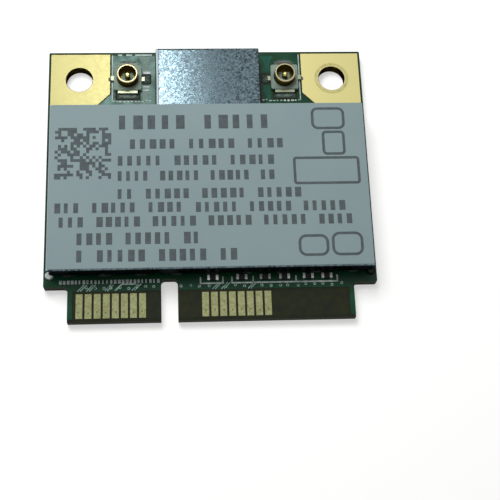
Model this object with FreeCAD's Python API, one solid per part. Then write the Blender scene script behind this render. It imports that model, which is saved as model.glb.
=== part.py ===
"""Laptop wireless network card: a half-length mini card that plugs in by a keyed edge tab and is held
down by two screws. A folded metal shield covers the radio, and two coaxial sockets take the antenna
leads. Millimetres. The origin is on the board's underside, under the middle of the card, with +Z up
through the component side and +Y towards the screw-hole end."""
import FreeCAD, Part
import os

# Board outline
CARD_WIDTH = 30.0
CARD_LENGTH = 26.8
BOARD_THICKNESS = 1.0
CARD_CORNER_RADIUS = 0.12
# Edge tab, its key slot and the bevel on its front edge
TAB_WIDTH = 25.7
TAB_LENGTH = 3.25
TAB_INNER_RADIUS = 0.4
LEFT_TAB_WIDTH = 8.3
KEY_WIDTH = 1.5
KEY_DEPTH = 3.85
KEY_CORNER_RADIUS = 0.35
TAB_BEVEL_RUN = 0.25
TAB_BEVEL_DROP = 0.12
# Solder mask: it stands above the bare laminate and stops short of the tab's contacts
MASK_STEP = 0.05
MASK_FROM_FRONT = 2.8
TAB_MASK_STRIP = 0.45
# Edge contacts, each a pad that narrows to a neck under the solder mask
CONTACT_PITCH = 0.8
CONTACT_WIDTH = 0.6
CONTACT_LENGTH = 2.35
CONTACT_FROM_FRONT = 0.3
CONTACT_NECK = 0.3
CONTACT_TAPER = 0.1
FIRST_CONTACT = 1.05
LOWER_ROW_SHIFT = 0.4
CONTACT_EDGE_GAP = 0.1
LEFT_CONTACTS = 8
KEY_PITCHES = 5
UPPER_RIGHT_SKIPPED = 2
UPPER_RIGHT_CONTACTS = 8
# Screw holes, each in a gold land on both faces
HOLE_DIAMETER = 2.6
HOLE_FROM_SIDE = 2.9
HOLE_FROM_BACK = 2.9
LAND_SIZE = 5.6
LAND_EDGE_GAP = 0.2
LAND_CHAMFER = 1.4
LAND_CLEARANCE = 0.08
# Shield: a soldered frame and a cover that snaps over it, both T-shaped and folded from sheet
SHEET = 0.2
SHIELD_HEIGHT = 2.0
COVER_SIDE_MARGIN = 0.4
COVER_FROM_FRONT = 4.15
COVER_FROM_BACK = 6.5
TONGUE_WIDTH = 9.8
TONGUE_OFFSET = 0.1
TONGUE_FROM_BACK = 0.6
BEND_RADIUS = 0.3
SKIRT_HEIGHT = 1.4
CORNER_SLIT = 0.4
FINGER_PITCH = 4.2
FINGER_SLIT = 0.3
FINGER_ROOT = 0.5
RIB_LENGTH = 1.0
RIB_WIDTH = 0.3
RIB_DEPTH = 0.1
FRAME_CLEARANCE = 0.05
WINDOW_CLEARANCE = 0.1
FRAME_FLANGE = 0.9
FRAME_BRIDGE = 3.0
FOOT_PITCH = 3.0
FOOT_GAP = 0.9
FOOT_GAP_HEIGHT = 0.25
# Label stuck on the cover
LABEL_THICKNESS = 0.1
LABEL_MARGIN = 0.1
LABEL_CORNER_RADIUS = 0.15
# Antenna sockets: a moulded base, a shell with a ring and two wide feet, and a centre pin
ANTENNA_SPACING = 15.0
ANTENNA_FROM_BACK = 2.9
SOCKET_BASE = 2.6
SOCKET_BASE_HEIGHT = 0.4
SOCKET_CHAMFER = 0.12
RING_DIAMETER = 2.0
RING_WALL = 0.16
RING_TOP = 1.25
RING_LIP_CHAMFER = 0.06
RING_ROOT_FLARE = 0.1
RING_ROOT_HEIGHT = 0.15
SHELL_SHEET = 0.15
SHELL_LIFT = 0.15
SHELL_FOOT_WIDTH = 1.85
SHELL_FOOT_REACH = 0.3
SHELL_OPENING = 1.0
TAIL_WIDTH = 0.45
PIN_DIAMETER = 0.5
PIN_TOP = 1.05
PIN_TIP_CHAMFER = 0.12
PIN_SHEET = 0.1
# Solder fillets
SOLDER_RUN = 0.25
SOLDER_RISE = 0.25
FOOT_SOLDER_RUN = 0.45
SHIELD_SOLDER_LENGTH = 1.2
CORNER_SOLDER_RUN = 0.4
CORNER_SOLDER_TIP = 0.15
CORNER_SOLDER_HEIGHT = 0.55
CORNER_SOLDER_BULGE = 0.6
# Small two-ended chips, by length, width and height
CHIP_SIZE = (1.0, 0.5, 0.35)
BULK_CHIP_SIZE = (2.0, 1.25, 1.0)
FILTER_SIZE = (2.0, 1.25, 0.95)
BALUN_SIZE = (1.6, 0.8, 0.6)
INDUCTOR_SIZE = (3.0, 3.0, 1.2)
CHIP_END_SHARE = 0.24
CHIP_BODY_INSET = 0.02
# Chips along the tab, in front of the shield: distances from the card's centre line
LINE_CHIP_FROM_FRONT = 3.84
LINE_CHIP_PLACES = (0.1, 2.7, 4.8, 6.55, 8.7, 10.4)
# Leadless packages: width, height and terminal pitch, with the terminals on each side
WIFI_PACKAGE = (9.0, 0.85, 0.5)
WIFI_TERMINAL_COUNT = 16
AMPLIFIER_PACKAGE = (3.0, 0.85, 0.5)
AMPLIFIER_TERMINAL_COUNT = 4
TERMINAL_HEIGHT = 0.15
TERMINAL_LENGTH = 0.4
TERMINAL_FILL = 0.5
PADDLE_SHARE = 0.6
# Leaded packages: body length, body width, height, span over the leads and lead pitch, with the leads
# on each side
MEMORY_PACKAGE = (3.0, 4.4, 1.0, 6.4, 0.65)
MEMORY_LEAD_COUNT = 4
REGULATOR_PACKAGE = (2.9, 1.6, 1.1, 2.8, 0.95)
REGULATOR_LEAD_COUNT = 3
SWITCH_PACKAGE = (2.0, 1.25, 0.95, 2.1, 0.65)
SWITCH_LEAD_COUNT = 3
LEAD_SHEET = 0.12
LEAD_FILL = 0.4
LEAD_SHOULDER = 0.18
PACKAGE_STANDOFF = 0.08
# Quartz crystal: a ceramic tray under a seam-welded lid
CRYSTAL_LENGTH = 3.2
CRYSTAL_WIDTH = 2.5
CRYSTAL_TRAY_HEIGHT = 0.5
CRYSTAL_LID_HEIGHT = 0.2
CRYSTAL_LID_INSET = 0.15
CRYSTAL_CHAMFER = 0.25
# Rows of small chips round the radio chip
CHIP_ROW_COUNT = 6
CHIP_ROW_PITCH = 1.4
CHIP_ROW_GAP = 0.45
# Places under the shield, from the centre of its main bay
WIFI_PLACE = (-1.5, 0.0)
CRYSTAL_PLACE = (-10.0, 3.6)
MEMORY_PLACE = (-10.4, -2.6)
AMPLIFIER_PLACE = (6.6, 3.6)
REGULATOR_PLACE = (10.4, 4.2)
INDUCTOR_PLACE = (10.0, -0.4)
BULK_PLACES = ((10.0, -3.4), (10.0, -5.2), (6.6, -3.4))
# Places along the tongue, from its centre line and from the main bay's back wall
FILTER_PLACE = (0.2, 0.9)
BALUN_PLACE = (-2.5, 0.9)
SWITCH_PLACE = (0.2, 3.1)
TONGUE_CHIP_OFFSET = 2.5

# Derived levels and edges
FRONT = -CARD_LENGTH / 2
BACK = CARD_LENGTH / 2
SIDE = CARD_WIDTH / 2
TOP = BOARD_THICKNESS
BARE_TOP = TOP - MASK_STEP
TAB_LEFT = -TAB_WIDTH / 2
TAB_RIGHT = TAB_WIDTH / 2
KEY_LEFT = TAB_LEFT + LEFT_TAB_WIDTH
KEY_RIGHT = KEY_LEFT + KEY_WIDTH
HOLE_X = SIDE - HOLE_FROM_SIDE
HOLE_Y = BACK - HOLE_FROM_BACK
COVER_SIDE = SIDE - COVER_SIDE_MARGIN
COVER_FRONT = FRONT + COVER_FROM_FRONT
COVER_BACK = BACK - COVER_FROM_BACK
TONGUE_LEFT = TONGUE_OFFSET - TONGUE_WIDTH / 2
TONGUE_RIGHT = TONGUE_OFFSET + TONGUE_WIDTH / 2
TONGUE_BACK = BACK - TONGUE_FROM_BACK
BAY_Y = (COVER_FRONT + COVER_BACK) / 2
SHIELD_TOP = TOP + SHIELD_HEIGHT
COVER_CEILING = SHIELD_TOP - SHEET
SKIRT_BOTTOM = SHIELD_TOP - SKIRT_HEIGHT
FRAME_INSET = SHEET + FRAME_CLEARANCE
SOCKET_Y = BACK - ANTENNA_FROM_BACK
NEAR = 1e-6


def point(x, y, z=0.0):
    return FreeCAD.Vector(x, y, z)


def block(x, y, length, width, low, high):
    """A box centred on x and y, between two heights."""
    return Part.makeBox(length, width, high - low, point(x - length / 2, y - width / 2, low))


def span_box(x0, x1, y0, y1, low, high):
    """A box given by its edges."""
    return Part.makeBox(x1 - x0, y1 - y0, high - low, point(x0, y0, low))


def prism(outline, low, high):
    """A closed outline of straight sides, raised between two heights."""
    corners = [point(x, y, low) for x, y in outline]
    face = Part.Face(Part.makePolygon(corners + corners[:1]))
    return face.extrude(point(0, 0, high - low))


def along_x(section, x0, x1):
    """A closed section of y and z, carried along X."""
    corners = [point(x0, y, z) for y, z in section]
    face = Part.Face(Part.makePolygon(corners + corners[:1]))
    return face.extrude(point(x1 - x0, 0, 0))


def round_uprights(shape, corners, radius):
    """Fillets the upright edges that stand at the given corners."""
    chosen = []
    for edge in shape.Edges:
        a = edge.Vertexes[0].Point
        b = edge.Vertexes[-1].Point
        upright = abs(a.x - b.x) < NEAR and abs(a.y - b.y) < NEAR
        if upright and any(abs(a.x - x) < NEAR and abs(a.y - y) < NEAR for x, y in corners):
            chosen.append(edge)
    return shape.makeFillet(radius, chosen)


def chamfer_uprights(shape, size):
    """Cuts off all the upright edges of a block."""
    uprights = [edge for edge in shape.Edges
                if abs(edge.Vertexes[0].Point.z - edge.Vertexes[-1].Point.z) > NEAR]
    return shape.makeChamfer(size, uprights)


def group(solids):
    """Like pieces kept as separate solids of one node."""
    return Part.makeCompound(solids)


def spread(centre, pitch, count):
    """Evenly pitched places, centred on one value."""
    return [centre + pitch * (i - (count - 1) / 2) for i in range(count)]


# Circuit board and its plated parts

def land_outline(side, grow):
    """The square land round a screw hole, with its inner front corner cut off."""
    outer = side * (SIDE - LAND_EDGE_GAP + grow)
    inner = side * (SIDE - LAND_EDGE_GAP - LAND_SIZE - grow)
    back = BACK - LAND_EDGE_GAP + grow
    front = BACK - LAND_EDGE_GAP - LAND_SIZE - grow
    return [(outer, front), (outer, back), (inner, back), (inner, front + LAND_CHAMFER),
            (inner + side * LAND_CHAMFER, front)]


def tab_bevel(low, high):
    """The wedge that a bevel takes off the tab's front edge, from one face towards the core."""
    fall = TAB_BEVEL_DROP if high > low else -TAB_BEVEL_DROP
    section = [(FRONT + TAB_BEVEL_RUN, low), (FRONT + TAB_BEVEL_RUN, high),
               (FRONT - TAB_BEVEL_RUN, high), (FRONT - TAB_BEVEL_RUN, low - 2 * fall)]
    return along_x(section, TAB_LEFT, TAB_RIGHT)


def circuit_board():
    ear = FRONT + TAB_LENGTH
    key_end = FRONT + KEY_DEPTH
    outline = [(TAB_LEFT, FRONT), (KEY_LEFT, FRONT), (KEY_LEFT, key_end), (KEY_RIGHT, key_end),
               (KEY_RIGHT, FRONT), (TAB_RIGHT, FRONT), (TAB_RIGHT, ear), (SIDE, ear), (SIDE, BACK),
               (-SIDE, BACK), (-SIDE, ear), (TAB_LEFT, ear)]
    board = prism(outline, 0, TOP)
    board = round_uprights(board, [(KEY_LEFT, key_end), (KEY_RIGHT, key_end)], KEY_CORNER_RADIUS)
    board = round_uprights(board, [(TAB_LEFT, ear), (TAB_RIGHT, ear)], TAB_INNER_RADIUS)
    outer_corners = [(SIDE, ear), (SIDE, BACK), (-SIDE, BACK), (-SIDE, ear)]
    board = round_uprights(board, outer_corners, CARD_CORNER_RADIUS)
    bare_left = TAB_LEFT + TAB_MASK_STRIP
    bare_right = TAB_RIGHT - TAB_MASK_STRIP
    bare_end = FRONT + MASK_FROM_FRONT
    cuts = [span_box(bare_left, bare_right, FRONT - MASK_STEP, bare_end, BARE_TOP, TOP + MASK_STEP),
            span_box(bare_left, bare_right, FRONT - MASK_STEP, bare_end, -MASK_STEP, MASK_STEP),
            tab_bevel(BARE_TOP, TOP + MASK_STEP),
            tab_bevel(MASK_STEP, -MASK_STEP)]
    for side in (-1, 1):
        opening = land_outline(side, LAND_CLEARANCE)
        cuts.append(prism(opening, BARE_TOP, TOP + MASK_STEP))
        cuts.append(prism(opening, -MASK_STEP, MASK_STEP))
        hole = point(side * HOLE_X, HOLE_Y, 0)
        cuts.append(Part.makeCylinder(HOLE_DIAMETER / 2, TOP, hole))
    return board.cut(cuts)


def contact(x, low, high):
    """One gold contact: a straight pad, a taper and a neck that runs to the solder mask."""
    wide = CONTACT_WIDTH / 2
    slim = CONTACT_NECK / 2
    start = FRONT + CONTACT_FROM_FRONT
    shoulder = start + CONTACT_LENGTH
    neck = shoulder + CONTACT_TAPER
    end = FRONT + MASK_FROM_FRONT
    return prism([(x - wide, start), (x + wide, start), (x + wide, shoulder), (x + slim, neck),
                  (x + slim, end), (x - slim, end), (x - slim, neck), (x - wide, shoulder)], low, high)


def contact_row(first_x, right_steps, low, high):
    """The contacts on one face: those left of the key slot, and the given steps right of it."""
    right_x = first_x + CONTACT_PITCH * (LEFT_CONTACTS - 1 + KEY_PITCHES)
    places = [first_x + CONTACT_PITCH * i for i in range(LEFT_CONTACTS)]
    places += [right_x + CONTACT_PITCH * i for i in right_steps]
    last_x = TAB_RIGHT - TAB_MASK_STRIP - CONTACT_EDGE_GAP - CONTACT_WIDTH / 2
    return group([contact(x, low, high) for x in places if x < last_x])


def upper_contacts():
    """The upper row leaves its first places after the key slot, and its last ones, bare."""
    steps = range(UPPER_RIGHT_SKIPPED, UPPER_RIGHT_SKIPPED + UPPER_RIGHT_CONTACTS)
    return contact_row(TAB_LEFT + FIRST_CONTACT, steps, BARE_TOP, TOP)


def lower_contacts():
    """The lower row lies half a pitch over and runs on to the tab's end."""
    steps = range(int(TAB_WIDTH / CONTACT_PITCH))
    return contact_row(TAB_LEFT + FIRST_CONTACT + LOWER_ROW_SHIFT, steps, 0, MASK_STEP)


def screw_land(side):
    """The gold land on each face round a screw hole, flush with the solder mask."""
    hole = Part.makeCylinder(HOLE_DIAMETER / 2, TOP, point(side * HOLE_X, HOLE_Y, 0))
    upper = prism(land_outline(side, 0), BARE_TOP, TOP).cut(hole)
    lower = prism(land_outline(side, 0), 0, MASK_STEP).cut(hole)
    return group([upper, lower])


# Shield

def shield_outline(inset):
    """The T: a wide main bay with a narrower tongue that runs back between the antenna sockets."""
    return [(inset - COVER_SIDE, COVER_FRONT + inset), (COVER_SIDE - inset, COVER_FRONT + inset),
            (COVER_SIDE - inset, COVER_BACK - inset), (TONGUE_RIGHT - inset, COVER_BACK - inset),
            (TONGUE_RIGHT - inset, TONGUE_BACK - inset), (TONGUE_LEFT + inset, TONGUE_BACK - inset),
            (TONGUE_LEFT + inset, COVER_BACK - inset), (inset - COVER_SIDE, COVER_BACK - inset)]


def shield_walls(inset):
    """Each straight wall of the T: its middle, its length, and whether it runs along X."""
    corners = shield_outline(inset)
    walls = []
    for a, b in zip(corners, corners[1:] + corners[:1]):
        middle = ((a[0] + b[0]) / 2, (a[1] + b[1]) / 2)
        runs_along_x = abs(a[1] - b[1]) < NEAR
        length = abs(b[0] - a[0]) + abs(b[1] - a[1])
        walls.append((middle, length, runs_along_x))
    return walls


def wall_places(inset, pitch, between):
    """Every wall is divided into equal bays of about the pitch. The places are the marks between the
    bays, or the bays' middles, each with the wall's direction."""
    places = []
    for (x, y), length, runs_along_x in shield_walls(inset):
        count = max(1, int(length / pitch))
        for shift in spread(0, length / count, count - 1 if between else count):
            places.append((x + shift, y, True) if runs_along_x else (x, y + shift, False))
    return places


def wall_inward(x, y, runs_along_x):
    """The direction from a wall of the T towards the space inside it."""
    if runs_along_x:
        return point(0, 1 if y < BAY_Y else -1)
    return point(1 if x < TONGUE_OFFSET else -1, 0)


def wall_cut(x, y, runs_along_x, width, low, high):
    """A notch through a wall at one place."""
    deep = 2 * (FRAME_INSET + 2 * SHEET)
    if runs_along_x:
        return block(x, y, width, deep, low, high)
    return block(x, y, deep, width, low, high)


def wall_rib(place, depth, reach, grow):
    """A block on a wall at half the fingers' height: it starts a depth inside the outer face and
    reaches further in, grown all round by a clearance."""
    x, y, runs_along_x = place
    inward = wall_inward(x, y, runs_along_x)
    middle = point(x, y) + inward * (depth + reach / 2)
    height = (SKIRT_BOTTOM + SHIELD_TOP - FINGER_ROOT) / 2
    half = RIB_WIDTH / 2 + grow
    long = RIB_LENGTH + 2 * grow
    length, width = (long, reach) if runs_along_x else (reach, long)
    return block(middle.x, middle.y, length, width, height - half, height + half)


def shield_cover():
    outer = prism(shield_outline(0), SKIRT_BOTTOM, SHIELD_TOP)
    rim = [edge for edge in outer.Edges if all(v.Point.z > SHIELD_TOP - NEAR for v in edge.Vertexes)]
    outer = outer.makeFillet(BEND_RADIUS, rim)
    inner = prism(shield_outline(SHEET), SKIRT_BOTTOM, COVER_CEILING)
    slit_top = SHIELD_TOP - FINGER_ROOT
    cuts = [inner]
    for x, y in shield_outline(0):
        cuts.append(block(x, y, 2 * CORNER_SLIT, 2 * CORNER_SLIT, SKIRT_BOTTOM, SHIELD_TOP - BEND_RADIUS))
    for x, y, runs_along_x in wall_places(0, FINGER_PITCH, True):
        cuts.append(wall_cut(x, y, runs_along_x, FINGER_SLIT, SKIRT_BOTTOM, slit_top))
    fingers = wall_places(0, FINGER_PITCH, False)
    ribs = [wall_rib(place, SHEET, RIB_DEPTH, 0) for place in fingers]
    grooves = [wall_rib(place, 0, RIB_DEPTH, 0) for place in fingers]
    return outer.cut(cuts).fuse(ribs).cut(grooves)


def shield_frame():
    low = TOP
    high = COVER_CEILING
    inner_inset = FRAME_INSET + SHEET
    outer = prism(shield_outline(FRAME_INSET), low, high)
    hollow = prism(shield_outline(inner_inset), low, high - SHEET)
    window = prism(shield_outline(inner_inset + FRAME_FLANGE), high - SHEET, high)
    bridge = span_box(-COVER_SIDE, COVER_SIDE, BAY_Y - FRAME_BRIDGE / 2, BAY_Y + FRAME_BRIDGE / 2,
                      high - SHEET, high)
    cuts = [hollow, window.cut(bridge)]
    for x, y, runs_along_x in wall_places(FRAME_INSET, FOOT_PITCH, True):
        cuts.append(wall_cut(x, y, runs_along_x, FOOT_GAP, low, low + FOOT_GAP_HEIGHT))
    for place in wall_places(0, FINGER_PITCH, False):
        cuts.append(wall_rib(place, SHEET, 2 * SHEET, WINDOW_CLEARANCE))
    return outer.cut(cuts)


def label():
    side = COVER_SIDE - LABEL_MARGIN
    front = COVER_FRONT + LABEL_MARGIN
    back = COVER_BACK - LABEL_MARGIN
    sheet = span_box(-side, side, front, back, SHIELD_TOP, SHIELD_TOP + LABEL_THICKNESS)
    corners = [(-side, front), (side, front), (side, back), (-side, back)]
    return round_uprights(sheet, corners, LABEL_CORNER_RADIUS)


# Antenna sockets

def socket_shell(x, inward):
    """One stamped piece: the ring on its flared root, the plate moulded into the base, two wide feet
    and an outer tail."""
    low = TOP + SHELL_LIFT
    high = low + SHELL_SHEET
    wall_low = high + RING_ROOT_HEIGHT
    floor = TOP + SOCKET_BASE_HEIGHT
    radius = RING_DIAMETER / 2
    half = SOCKET_BASE / 2
    ring = Part.makeCylinder(radius, TOP + RING_TOP - wall_low, point(x, SOCKET_Y, wall_low))
    lip = [edge for edge in ring.Edges if all(v.Point.z > TOP + RING_TOP - NEAR for v in edge.Vertexes)]
    ring = ring.makeChamfer(RING_LIP_CHAMFER, lip)
    root = Part.makeCone(radius + RING_ROOT_FLARE, radius, RING_ROOT_HEIGHT, point(x, SOCKET_Y, high))
    length = SOCKET_BASE + 2 * SHELL_FOOT_REACH
    pieces = [block(x, SOCKET_Y, SHELL_FOOT_WIDTH, length, low, high)]
    for way in (-1, 1):
        foot_y = SOCKET_Y + way * (half + SHELL_FOOT_REACH / 2)
        pieces.append(block(x, foot_y, SHELL_FOOT_WIDTH, SHELL_FOOT_REACH, TOP, high))
    outer_x = x - inward * (half + SHELL_FOOT_REACH / 2)
    pieces.append(block(x - inward * length / 4, SOCKET_Y, length / 2, TAIL_WIDTH, low, high))
    pieces.append(block(outer_x, SOCKET_Y, SHELL_FOOT_REACH, TAIL_WIDTH, TOP, high))
    shell = ring.fuse([root] + pieces).removeSplitter()
    opening = block(x, SOCKET_Y, SHELL_OPENING, SHELL_OPENING, low, floor)
    bore = Part.makeCylinder(radius - RING_WALL, TOP + RING_TOP - floor, point(x, SOCKET_Y, floor))
    return shell.cut([opening, bore])


def socket_pin(x, inward):
    """The centre pin, with the strip under the base that brings it out to its solder tail."""
    pin = Part.makeCylinder(PIN_DIAMETER / 2, PIN_TOP, point(x, SOCKET_Y, TOP))
    tip = [edge for edge in pin.Edges if all(v.Point.z > TOP + PIN_TOP - NEAR for v in edge.Vertexes)]
    pin = pin.makeChamfer(PIN_TIP_CHAMFER, tip)
    reach = SOCKET_BASE / 2 + SHELL_FOOT_REACH
    strip = block(x + inward * reach / 2, SOCKET_Y, reach, TAIL_WIDTH, TOP, TOP + PIN_SHEET)
    return pin.fuse(strip).removeSplitter()


def socket_base(x, inward):
    """The moulding round the shell's plate and the pin's strip."""
    moulding = block(x, SOCKET_Y, SOCKET_BASE, SOCKET_BASE, TOP, TOP + SOCKET_BASE_HEIGHT)
    moulding = chamfer_uprights(moulding, SOCKET_CHAMFER)
    return moulding.cut([socket_shell(x, inward), socket_pin(x, inward)])


def fillet_along_x(x, y, way, length, rise, run=SOLDER_RUN):
    """A hollow solder fillet beside an upright face: out along the board one way, and up the face."""
    sag = run / 3
    section = [(y, TOP), (y + way * run, TOP), (y + way * sag, TOP + rise / 3), (y, TOP + rise)]
    return along_x(section, x - length / 2, x + length / 2)


def fillet_along_y(x, y, way, length, rise):
    """The same fillet, turned to run along Y."""
    fillet = fillet_along_x(0, 0, way, length, rise)
    fillet.rotate(point(0, 0), point(0, 0, 1), -90)
    fillet.translate(point(x, y))
    return fillet


def socket_solder(x, inward):
    """Fillets at the two wide feet, the outer tail and the pin's tail."""
    reach = SOCKET_BASE / 2 + SHELL_FOOT_REACH
    pieces = [fillet_along_x(x, SOCKET_Y + way * reach, way, SHELL_FOOT_WIDTH, SOLDER_RISE, FOOT_SOLDER_RUN)
              for way in (-1, 1)]
    pieces.append(fillet_along_y(x - inward * reach, SOCKET_Y, -inward, TAIL_WIDTH, SOLDER_RISE))
    pieces.append(fillet_along_y(x + inward * reach, SOCKET_Y, inward, TAIL_WIDTH, PIN_SHEET))
    return group(pieces)


def corner_solder(x_way, y_way):
    """A blob that leans on both walls at a corner of the main bay, wide at the board and narrow above."""
    x = x_way * (COVER_SIDE - FRAME_INSET)
    y = (COVER_BACK - FRAME_INSET) if y_way > 0 else (COVER_FRONT + FRAME_INSET)
    wires = []
    for run, z in ((CORNER_SOLDER_RUN, TOP), (CORNER_SOLDER_TIP, TOP + CORNER_SOLDER_HEIGHT)):
        bulge = run * CORNER_SOLDER_BULGE
        ring = [(0, 0), (-run, 0), (-run, bulge), (bulge, run), (run, bulge), (bulge, -run), (0, -run),
                (0, 0)]
        wires.append(Part.makePolygon([point(x + x_way * a, y + y_way * b, z) for a, b in ring]))
    return Part.makeLoft(wires, True, True)


def shield_solder():
    """A fillet outside each of the frame's feet, and a larger blob at the main bay's four corners."""
    pieces = []
    for x, y, runs_along_x in wall_places(FRAME_INSET, FOOT_PITCH, False):
        outward = wall_inward(x, y, runs_along_x) * -1
        if runs_along_x:
            pieces.append(fillet_along_x(x, y, outward.y, SHIELD_SOLDER_LENGTH, SOLDER_RISE))
        else:
            pieces.append(fillet_along_y(x, y, outward.x, SHIELD_SOLDER_LENGTH, SOLDER_RISE))
    for x_way in (-1, 1):
        for y_way in (-1, 1):
            pieces.append(corner_solder(x_way, y_way))
    return group(pieces)


# Chips

def two_ended(x, y, size, upright):
    """A small chip: its body and the two metal caps on its ends, along X or, upright, along Y."""
    length, width, height = size
    cap = length * CHIP_END_SHARE
    body_length = length - 2 * cap
    slim = width - 2 * CHIP_BODY_INSET
    low = TOP + CHIP_BODY_INSET
    high = TOP + height - CHIP_BODY_INSET
    shift = (length - cap) / 2
    if upright:
        body = block(x, y, slim, body_length, low, high)
        ends = [block(x, y + way * shift, width, cap, TOP, TOP + height) for way in (-1, 1)]
    else:
        body = block(x, y, body_length, slim, low, high)
        ends = [block(x + way * shift, y, cap, width, TOP, TOP + height) for way in (-1, 1)]
    return body, ends


def chip_set(places, size):
    """The bodies of many like chips as one group, and their caps as another."""
    bodies = []
    caps = []
    for x, y, upright in places:
        body, ends = two_ended(x, y, size, upright)
        bodies.append(body)
        caps += ends
    return group(bodies), group(caps)


def leadless(x, y, package, count):
    """A square package without legs: its body on a ring of flat terminals and a centre paddle."""
    width, height, pitch = package
    low = TOP + TERMINAL_HEIGHT
    body = block(x, y, width, width, low, TOP + height)
    shift = (width - TERMINAL_LENGTH) / 2
    wide = pitch * TERMINAL_FILL
    metal = [block(x, y, width * PADDLE_SHARE, width * PADDLE_SHARE, TOP, low)]
    for along in spread(0, pitch, count):
        for way in (-1, 1):
            metal.append(block(x + along, y + way * shift, wide, TERMINAL_LENGTH, TOP, low))
            metal.append(block(x + way * shift, y + along, TERMINAL_LENGTH, wide, TOP, low))
    return body, group(metal)


def leaded(x, y, package, count):
    """A package on bent legs: each leaves the body at mid height, steps down and ends in a foot."""
    length, width, height, over_leads, pitch = package
    body = block(x, y, length, width, TOP + PACKAGE_STANDOFF, TOP + height)
    face = width / 2
    tip = over_leads / 2
    exit_low = TOP + height / 2
    exit_high = exit_low + LEAD_SHEET
    outer = face + min(LEAD_SHOULDER, (tip - face) / 2)
    inner = outer - LEAD_SHEET
    legs = []
    for along in spread(x, pitch, count):
        for way in (-1, 1):
            section = [(face, exit_low), (face, exit_high), (outer, exit_high), (outer, TOP + LEAD_SHEET),
                       (tip, TOP + LEAD_SHEET), (tip, TOP), (inner, TOP), (inner, exit_low)]
            placed = [(y + way * out, z) for out, z in section]
            half = pitch * LEAD_FILL / 2
            legs.append(along_x(placed, along - half, along + half))
    return body, group(legs)


def crystal():
    x, y = bay_place(CRYSTAL_PLACE)
    seam = TOP + CRYSTAL_TRAY_HEIGHT
    tray = block(x, y, CRYSTAL_LENGTH, CRYSTAL_WIDTH, TOP, seam)
    length = CRYSTAL_LENGTH - 2 * CRYSTAL_LID_INSET
    width = CRYSTAL_WIDTH - 2 * CRYSTAL_LID_INSET
    lid = block(x, y, length, width, seam, seam + CRYSTAL_LID_HEIGHT)
    return tray, chamfer_uprights(lid, CRYSTAL_CHAMFER)


def line_chips():
    y = FRONT + LINE_CHIP_FROM_FRONT
    return chip_set([(x, y, False) for x in LINE_CHIP_PLACES], CHIP_SIZE)


def capacitor_places():
    """Rows before and behind the radio chip, a column at its right, and three in the tongue."""
    x = WIFI_PLACE[0]
    y = BAY_Y + WIFI_PLACE[1]
    away = WIFI_PACKAGE[0] / 2 + CHIP_ROW_GAP + CHIP_SIZE[0] / 2
    row = spread(0, CHIP_ROW_PITCH, CHIP_ROW_COUNT)
    places = [(x + step, y + way * away, True) for step in row for way in (-1, 1)]
    places += [(x + away, y + step, False) for step in row]
    switch_x, switch_y = tongue_place(SWITCH_PLACE)
    filter_x, filter_y = tongue_place(FILTER_PLACE)
    places += [(switch_x + way * TONGUE_CHIP_OFFSET, switch_y, False) for way in (-1, 1)]
    places.append((filter_x + TONGUE_CHIP_OFFSET, filter_y, False))
    return places


def resistor_places():
    """A column at the radio chip's left."""
    away = WIFI_PACKAGE[0] / 2 + CHIP_ROW_GAP + CHIP_SIZE[0] / 2
    rows = spread(BAY_Y + WIFI_PLACE[1], CHIP_ROW_PITCH, CHIP_ROW_COUNT)
    return [(WIFI_PLACE[0] - away, y, False) for y in rows]


def bay_place(place):
    return place[0], BAY_Y + place[1]


def tongue_place(place):
    return TONGUE_OFFSET + place[0], COVER_BACK + place[1]


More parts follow.
